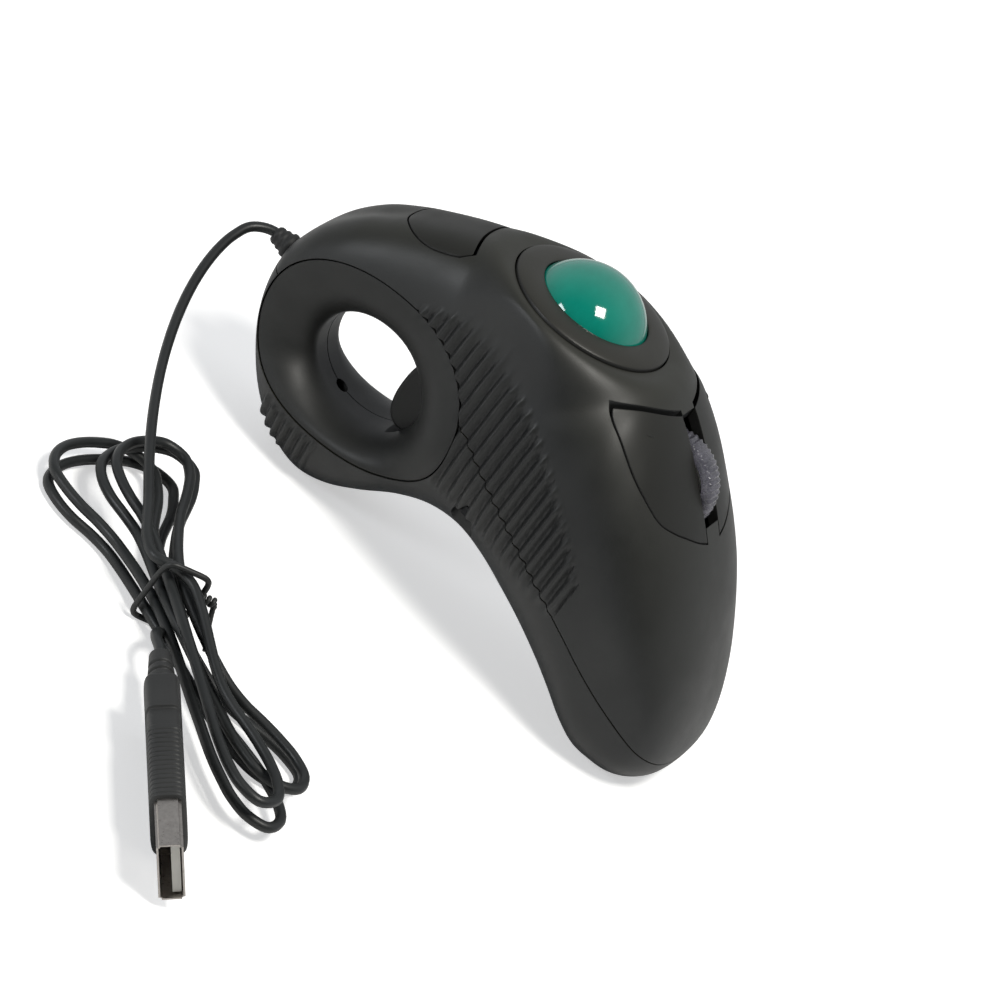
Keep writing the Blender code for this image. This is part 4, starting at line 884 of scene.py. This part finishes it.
# ------------------------------------------------------------------ trigger
PIN = (-8.5, 38.2)
BLADE_C = (-14.4, 29.1)
BLADE_A = (4.5, 8.2)
front_face = []
for q in range(61):
    t = math.pi * q / 60
    front_face.append((BLADE_C[0] - BLADE_A[0] * math.sin(t) ** .87, BLADE_C[1] + BLADE_A[1] * math.copysign(abs(math.cos(t)) ** .87, math.cos(t))))
trig_out = [(v[0], v[1]) for v in front_face] + [(-12.2, 21.0), (-10.4, 22.8), (-9.4, 26.0), (-9.3, 31.0), (-7.4, 36.8), (-9.4, 39.4), (-12.0, 38.6)]
trig = prism_me("trigger", trig_out, -6.15, 6.15)
bm = bmesh.new()
bm.from_mesh(trig)
rim = [e for e in bm.edges if abs(abs(e.verts[0].co.x) - abs(e.verts[1].co.x)) < 1e-6 and e.verts[0].co.x * e.verts[1].co.x > 0]
bmesh.ops.bevel(bm, geom=rim, offset=.7 * MM, segments=4, affect='EDGES', profile=.5)
trig = from_bm("trigger", bm)
trig = boolean(trig, [cyl_me("boss", (-6.1, *PIN), (6.1, *PIN), 2.1, 40)], 'UNION')
trig = boolean(trig, [cyl_me("bore", (-9, *PIN), (9, *PIN), 1.08, 32)])
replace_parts(add("trigger_lever_black", trig, "trigger_lever", M_TRIG), "trigger")

# ------------------------------------------------------------------ bezel and ball
prof = [(OPEN_R, -.22), (OPEN_R + .08, -.05), (OPEN_R + .3, .02), (12.0, .04), (12.8, .0), (13.6, -.09), (14.4, -.22), (15.1, -.40), (15.7, -.61), (16.1, -.80),
        (16.3, -.93), (BEZEL_R, -1.1), (BEZEL_R, -2.9), (13.1, -2.9), (11.95, -1.1), (11.3, -.45)]
bez = turned_me("bezel", prof, OPEN_C, OPEN_N, 180)
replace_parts(add("ball_bezel_ring", bez, "casing", M_BEZEL, sharp=50), "ball_bezel")
bm = bmesh.new()
bmesh.ops.create_uvsphere(bm, u_segments=128, v_segments=64, radius=12.5 * MM)
bmesh.ops.rotate(bm, cent=(0, 0, 0), matrix=Matrix.Rotation(.6, 3, 'X'), verts=bm.verts)
bmesh.ops.translate(bm, vec=P(*BALL_C), verts=bm.verts)
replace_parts(add("thumb_ball", from_bm("ball", bm), "ball", M_BALL, sharp=0), "trackball")

# ------------------------------------------------------------------ scroll wheel tyre
wy, wz = WHEEL_C
na, prof = 54 * 6, [(8.2, -2.45), (9.3, -2.45), (9.9, -2.3), (10.2, -2.0), (10.35, -1.5), (WHEEL_R, -.8), (WHEEL_R, .8), (10.35, 1.5), (10.2, 2.0), (9.9, 2.3), (9.3, 2.45), (8.2, 2.45)]
bm = bmesh.new()
rings = []
for k in range(na):
    a = 2 * math.pi * k / na
    w = .5 - .5 * math.cos(2 * math.pi * k / 6)
    row = []
    for r, x in prof:
        rr = r - .34 * w * (1 if r > 9.5 else 0)
        row.append(bm.verts.new(P(x, wy + rr * math.cos(a), wz + rr * math.sin(a))))
    rings.append(row)
for k in range(na):
    for j in range(len(prof)):
        j2 = (j + 1) % len(prof)
        bm.faces.new((rings[k][j], rings[(k + 1) % na][j], rings[(k + 1) % na][j2], rings[k][j2]))
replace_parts(add("ribbed_tyre", from_bm("tyre", bm), "scroll_wheel", M_WHEEL, sharp=60), "wheel_tyre")

# ------------------------------------------------------------------ camera's axes
v = Vector((0.86455, 0.13230, 0.48481)).normalized()
r = Vector((-0.41424, 0.73379, 0.53847))
r = (r - v * r.dot(v)).normalized()
u = v.cross(r)
LOOK = Vector((0, -0.0462, 0.021))
EYE = LOOK + v * 1.0


def centreline(node, start):
    """middle line of a packed tube, ring by ring from the end nearest start (metres)."""
    me = NODES[node].data
    key, ids = {}, []
    for w in me.vertices:
        ids.append(key.setdefault(tuple(round(q * 1e6) for q in w.co), len(key)))
    pos = np.zeros((len(key), 3))
    for k, w in zip(ids, me.vertices):
        pos[k] = w.co[:]
    near = [set() for _ in key]
    for e in me.edges:
        a, b = ids[e.vertices[0]], ids[e.vertices[1]]
        near[a].add(b)
        near[b].add(a)
    first = int(np.argmin(np.linalg.norm(pos - np.array(start), axis=1)))
    level = [q for q in range(len(pos)) if np.linalg.norm(pos[q] - pos[first]) < 2.4 * CABLE_R * MM]
    seen, mids = set(level), []
    while level:
        mids.append(pos[level].mean(0))
        level = sorted({b for a in level for b in near[a]} - seen)
        seen |= set(level)
    return np.array(mids)


line = centreline("usb_cable", P(0, 4.0, 40.2))
path = spline([tuple(q / MM) for q in line], 0.8)
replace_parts(add("cable_round", tube_me("cable_round", [Vector(tuple(np.array(q) * MM)) for q in path], CABLE_R, 4), "casing", M_CABLE, sharp=0), "usb_cable")

# strain relief at the nose
boot = turned_me("boot", [(1.15, -3.7), (2.38, -3.7), (2.38, .1), (2.55, .35), (2.6, .8), (2.5, 1.2), (2.15, 1.4), (2.05, 1.9), (2.15, 2.1), (2.1, 2.5), (1.85, 2.7), (1.8, 3.1),
                          (1.9, 3.3), (1.8, 3.8), (1.5, 4.2), (1.15, 4.3)], (0, -52.0, 31.0), (0, -1, 0), 72)
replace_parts(add("nose_boot", boot, "casing", M_BOOT, sharp=50), "cable_boot")

# wire tie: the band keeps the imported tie's box, and a twisted knot with a short tail hangs from its side
lo, hi = (np.array(q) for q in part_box("twist_tie"))
PLUG_A = np.array([97.4, -6.8, 7.9])
PLUG_B = np.array([143.3, 25.3, 7.9])
pa = (PLUG_B - PLUG_A) / np.linalg.norm(PLUG_B - PLUG_A)
mid = (lo + hi) / 2
along = np.array([2.30, 1.60, 0.0]) / math.hypot(2.30, 1.60)
across = np.array([-along[1], along[0], 0.0])
half_w = 4.5 * MM
half_h = (hi[2] - lo[2]) / 2 - .6 * MM
band = []
for q in range(180):
    t = 2 * math.pi * q / 180
    cx, cz = (math.copysign(abs(w) ** (1 / 3), w) for w in (math.cos(t), math.sin(t)))
    band.append(mid + across * cx * half_w + np.array([0, 0, cz * half_h]) + along * .5 * MM * math.sin(t))
tw = tube_me("tie_band", [Vector(tuple(q)) for q in band], 0.56, 3, True)
side = mid - across * 0 + across * half_w
knot = side + np.array([0, 0, half_h * .35])
kn, tl = [], []
for q in range(61):
    t = q / 60
    kn.append(knot + across * (.3 + 3.0 * t) * MM + .6 * MM * (math.cos(18 * t) * along + math.sin(18 * t) * np.array([0, 0, 1.0])))
for q in range(41):
    t = q / 40
    tl.append(knot + across * (3.0 + 1.6 * t) * MM + along * (5.4 * t * t) * MM + np.array([0, 0, (-6.4 * t) * MM]))
kt = tube_me("tie_knot", [Vector(tuple(q)) for q in kn], 0.46, 3)
tt = tube_me("tie_tail", [Vector(tuple(q)) for q in tl], 0.5, 3)
bm = bmesh.new()
for me in (tw, kt, tt):
    bm.from_mesh(me)
tie_me = bpy.data.meshes.new("tie")
bm.to_mesh(tie_me)
bm.free()
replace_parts(add("wire_tie", tie_me, "casing", M_TIE, sharp=0), "twist_tie")

# USB plug: ringed relief, overmould with a recessed band and fine grip lines, folded metal shell
wdir = Vector((0.265, -0.467, 0.8436))
adir = Vector(pa)
wdir = (wdir - adir * wdir.dot(adir)).normalized()
hdir = adir.cross(wdir)
PLUG_M = Matrix.Translation(P(*PLUG_A)) @ Matrix((adir, wdir, hdir)).transposed().to_4x4()


def section_loft(name, rows, n=72, p=5.0):
    """rows of (s, half w, half h): rounded rectangles along the plug."""
    bm = bmesh.new()
    rings = []
    for s, hw, hh in rows:
        ring = []
        for k in range(n):
            a = 2 * math.pi * k / n
            c, d = math.cos(a), math.sin(a)
            ring.append(bm.verts.new((s * MM, math.copysign(abs(c) ** (2 / p), c) * hw * MM, math.copysign(abs(d) ** (2 / p), d) * hh * MM)))
        rings.append(ring)
    for i in range(len(rings) - 1):
        for k in range(n):
            bm.faces.new((rings[i][k], rings[i][(k + 1) % n], rings[i + 1][(k + 1) % n], rings[i + 1][k]))
    bm.faces.new(rings[0][::-1])
    bm.faces.new(rings[-1])
    bmesh.ops.transform(bm, matrix=PLUG_M, verts=bm.verts)
    return from_bm(name, bm)


rows = []
for s in np.arange(12.4, 44.45, .1):
    hw, hh = 6.8, 3.15
    end = min((s - 12.4) / .9, (44.4 - s) / .5, 1.0)
    hw -= .8 * (1 - math.sqrt(max(0, 1 - (1 - max(end, 0)) ** 2)))
    hh -= .6 * (1 - math.sqrt(max(0, 1 - (1 - max(end, 0)) ** 2)))
    band_ = float(smoothstep((s - 21.3) / .25) * (1 - smoothstep((s - 26.0) / .25)))
    hw -= .5 * band_
    hh -= .15 * band_
    if 26.9 < s < 43.6:
        g = max(0.0, math.cos(2 * math.pi * (s - 27.4) / 1.15)) ** 3
        hw -= .28 * g
        hh -= .10 * g
    rows.append((s, hw, hh))
mould = section_loft("mould", rows)
rp = [(CABLE_R + .04, 0.0)]
for s in np.arange(0, 12.9, .12):
    rad = 1.95 + .95 * s / 12.6
    for c in (3.9, 6.0, 8.2, 10.3):
        rad -= .55 * math.exp(-((s - c) / .36) ** 4)
    if s < .5:
        rad -= .35 * (1 - s / .5)
    rp.append((rad, float(s)))
rp += [(CABLE_R + .04, 12.84)]
relief = turned_me("relief", rp, tuple(PLUG_A), tuple(pa), 64)
bm = bmesh.new()
bm.from_mesh(mould)
bm.from_mesh(relief)
mould = bpy.data.meshes.new("plug")
bm.to_mesh(mould)
bm.free()
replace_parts(add("plug_overmould", mould, "casing", M_PLUG, sharp=45), "usb_plug_overmold")


def plug_box(name, s0, s1, w, h, bevel=0.0, seg=3, z=0.0, y=0.0):
    bm = bmesh.new()
    bmesh.ops.create_cube(bm, size=1.0)
    bmesh.ops.scale(bm, vec=((s1 - s0) * MM, w * MM, h * MM), verts=bm.verts)
    if bevel:
        bmesh.ops.bevel(bm, geom=[e for e in bm.edges if abs(e.verts[0].co.x - e.verts[1].co.x) > 1e-6], offset=bevel * MM, segments=seg, affect='EDGES')
    bmesh.ops.translate(bm, vec=((s0 + s1) / 2 * MM, y * MM, z * MM), verts=bm.verts)
    bmesh.ops.transform(bm, matrix=PLUG_M, verts=bm.verts)
    return from_bm(name, bm)


ps = plug_box("ps", 44.0, 55.9, 12.0, 4.5, .55)
ps = boolean(ps, [plug_box("pi", 45.0, 60.0, 11.3, 3.8, .3), plug_box("w1", 49.4, 51.8, 2.3, 9.0, y=2.9), plug_box("w2", 49.4, 51.8, 2.3, 9.0, y=-2.9),
                  plug_box("seam", 43.0, 60.0, .12, 3.0, z=-3.4)])
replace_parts(add("plug_shell", ps, "casing", M_SHELL, sharp=40), "usb_plug_shell")


WORLD = .6

# ------------------------------------------------------------------ floor, camera, light
fl = bpy.data.meshes.new("floor")
fl.from_pydata([(-3, -3, 0), (3, -3, 0), (3, 3, 0), (-3, 3, 0)], [], [(0, 1, 2, 3)])
floor = bpy.data.objects.new("floor", fl)
bpy.context.scene.collection.objects.link(floor)
floor.location.z = -0.0002
m, nt, b, tc = nodes_of("pale_floor")
n = noise(nt, tc, 3.0, 2.0)
c = ramp(nt, n.outputs["Fac"], [(.3, (.90, .90, .90)), (.7, (.92, .92, .92))])
nt.links.new(c.outputs["Color"], b.inputs["Base Color"])
b.inputs["Roughness"].default_value = .9
b.inputs["Specular IOR Level"].default_value = .1
lpf = nt.nodes.new("ShaderNodeLightPath")
nt.links.new(lpf.outputs["Is Camera Ray"], b.inputs["Emission Strength"])
b.inputs["Emission Color"].default_value = (.50, .50, .50, 1)
fl.materials.append(m)

cam_d = bpy.data.cameras.new("camera")
cam_d.lens = 193.3
cam_d.sensor_width = 36.0
cam_d.clip_start = .05
cam_d.clip_end = 20
cam = bpy.data.objects.new("camera", cam_d)
cam.matrix_world = Matrix.Translation(LOOK + v * 1.0) @ Matrix((r, u, v)).transposed().to_4x4()
bpy.context.scene.collection.objects.link(cam)
bpy.context.scene.camera = cam

world = bpy.data.worlds.new("world")
bpy.context.scene.world = world
world.use_nodes = True
wt = world.node_tree
bg = wt.nodes["Background"]
tcw = wt.nodes.new("ShaderNodeTexCoord")
dot = wt.nodes.new("ShaderNodeVectorMath")
dot.operation = 'DOT_PRODUCT'
dot.inputs[1].default_value = (.93, .05, .20)          # the viewer's side of the room is dim
wt.links.new(tcw.outputs["Generated"], dot.inputs[0])
wr = wt.nodes.new("ShaderNodeValToRGB")
wr.color_ramp.elements[0].position = .0
wr.color_ramp.elements[0].color = (.80, .82, .85, 1)
wr.color_ramp.elements[1].position = 1.0
wr.color_ramp.elements[1].color = (.035, .042, .045, 1)
mr = wt.nodes.new("ShaderNodeMapRange")
mr.inputs["From Min"].default_value = -.25
mr.inputs["From Max"].default_value = .62
wt.links.new(dot.outputs["Value"], mr.inputs["Value"])
wt.links.new(mr.outputs["Result"], wr.inputs["Fac"])
lp = wt.nodes.new("ShaderNodeLightPath")
mixw = wt.nodes.new("ShaderNodeMix")
mixw.data_type = 'RGBA'
wt.links.new(lp.outputs["Is Camera Ray"], mixw.inputs["Factor"])
wt.links.new(wr.outputs["Color"], mixw.inputs["A"])
mixw.inputs["B"].default_value = (1, 1, 1, 1)
wt.links.new(mixw.outputs["Result"], bg.inputs["Color"])
bg.inputs["Strength"].default_value = WORLD


def area(name, at, target, size, power, color=(1, 1, 1), size_y=None):
    d = bpy.data.lights.new(name, 'AREA')
    d.energy = power
    d.color = color
    d.size = size
    if size_y:
        d.shape = 'RECTANGLE'
        d.size_y = size_y
    o = bpy.data.objects.new(name, d)
    o.location = at
    o.rotation_euler = (Vector(target) - Vector(at)).to_track_quat('-Z', 'Y').to_euler()
    bpy.context.scene.collection.objects.link(o)
    return o


LT = (0, -.05, .04)
area("key", (.35, .25, 1.1), LT, .32, 9.0, (1.0, .98, .93))
area("side", (1.0, -.9, .55), LT, .36, 5.0, (.93, .96, 1.0))
bpy.context.scene.view_settings.view_transform = 'Standard'
bpy.context.scene.view_settings.look = 'None'

bpy.context.view_layer.update()
for o in list(work.objects):
    bpy.data.objects.remove(o, do_unlink=True)
bpy.data.collections.remove(work)
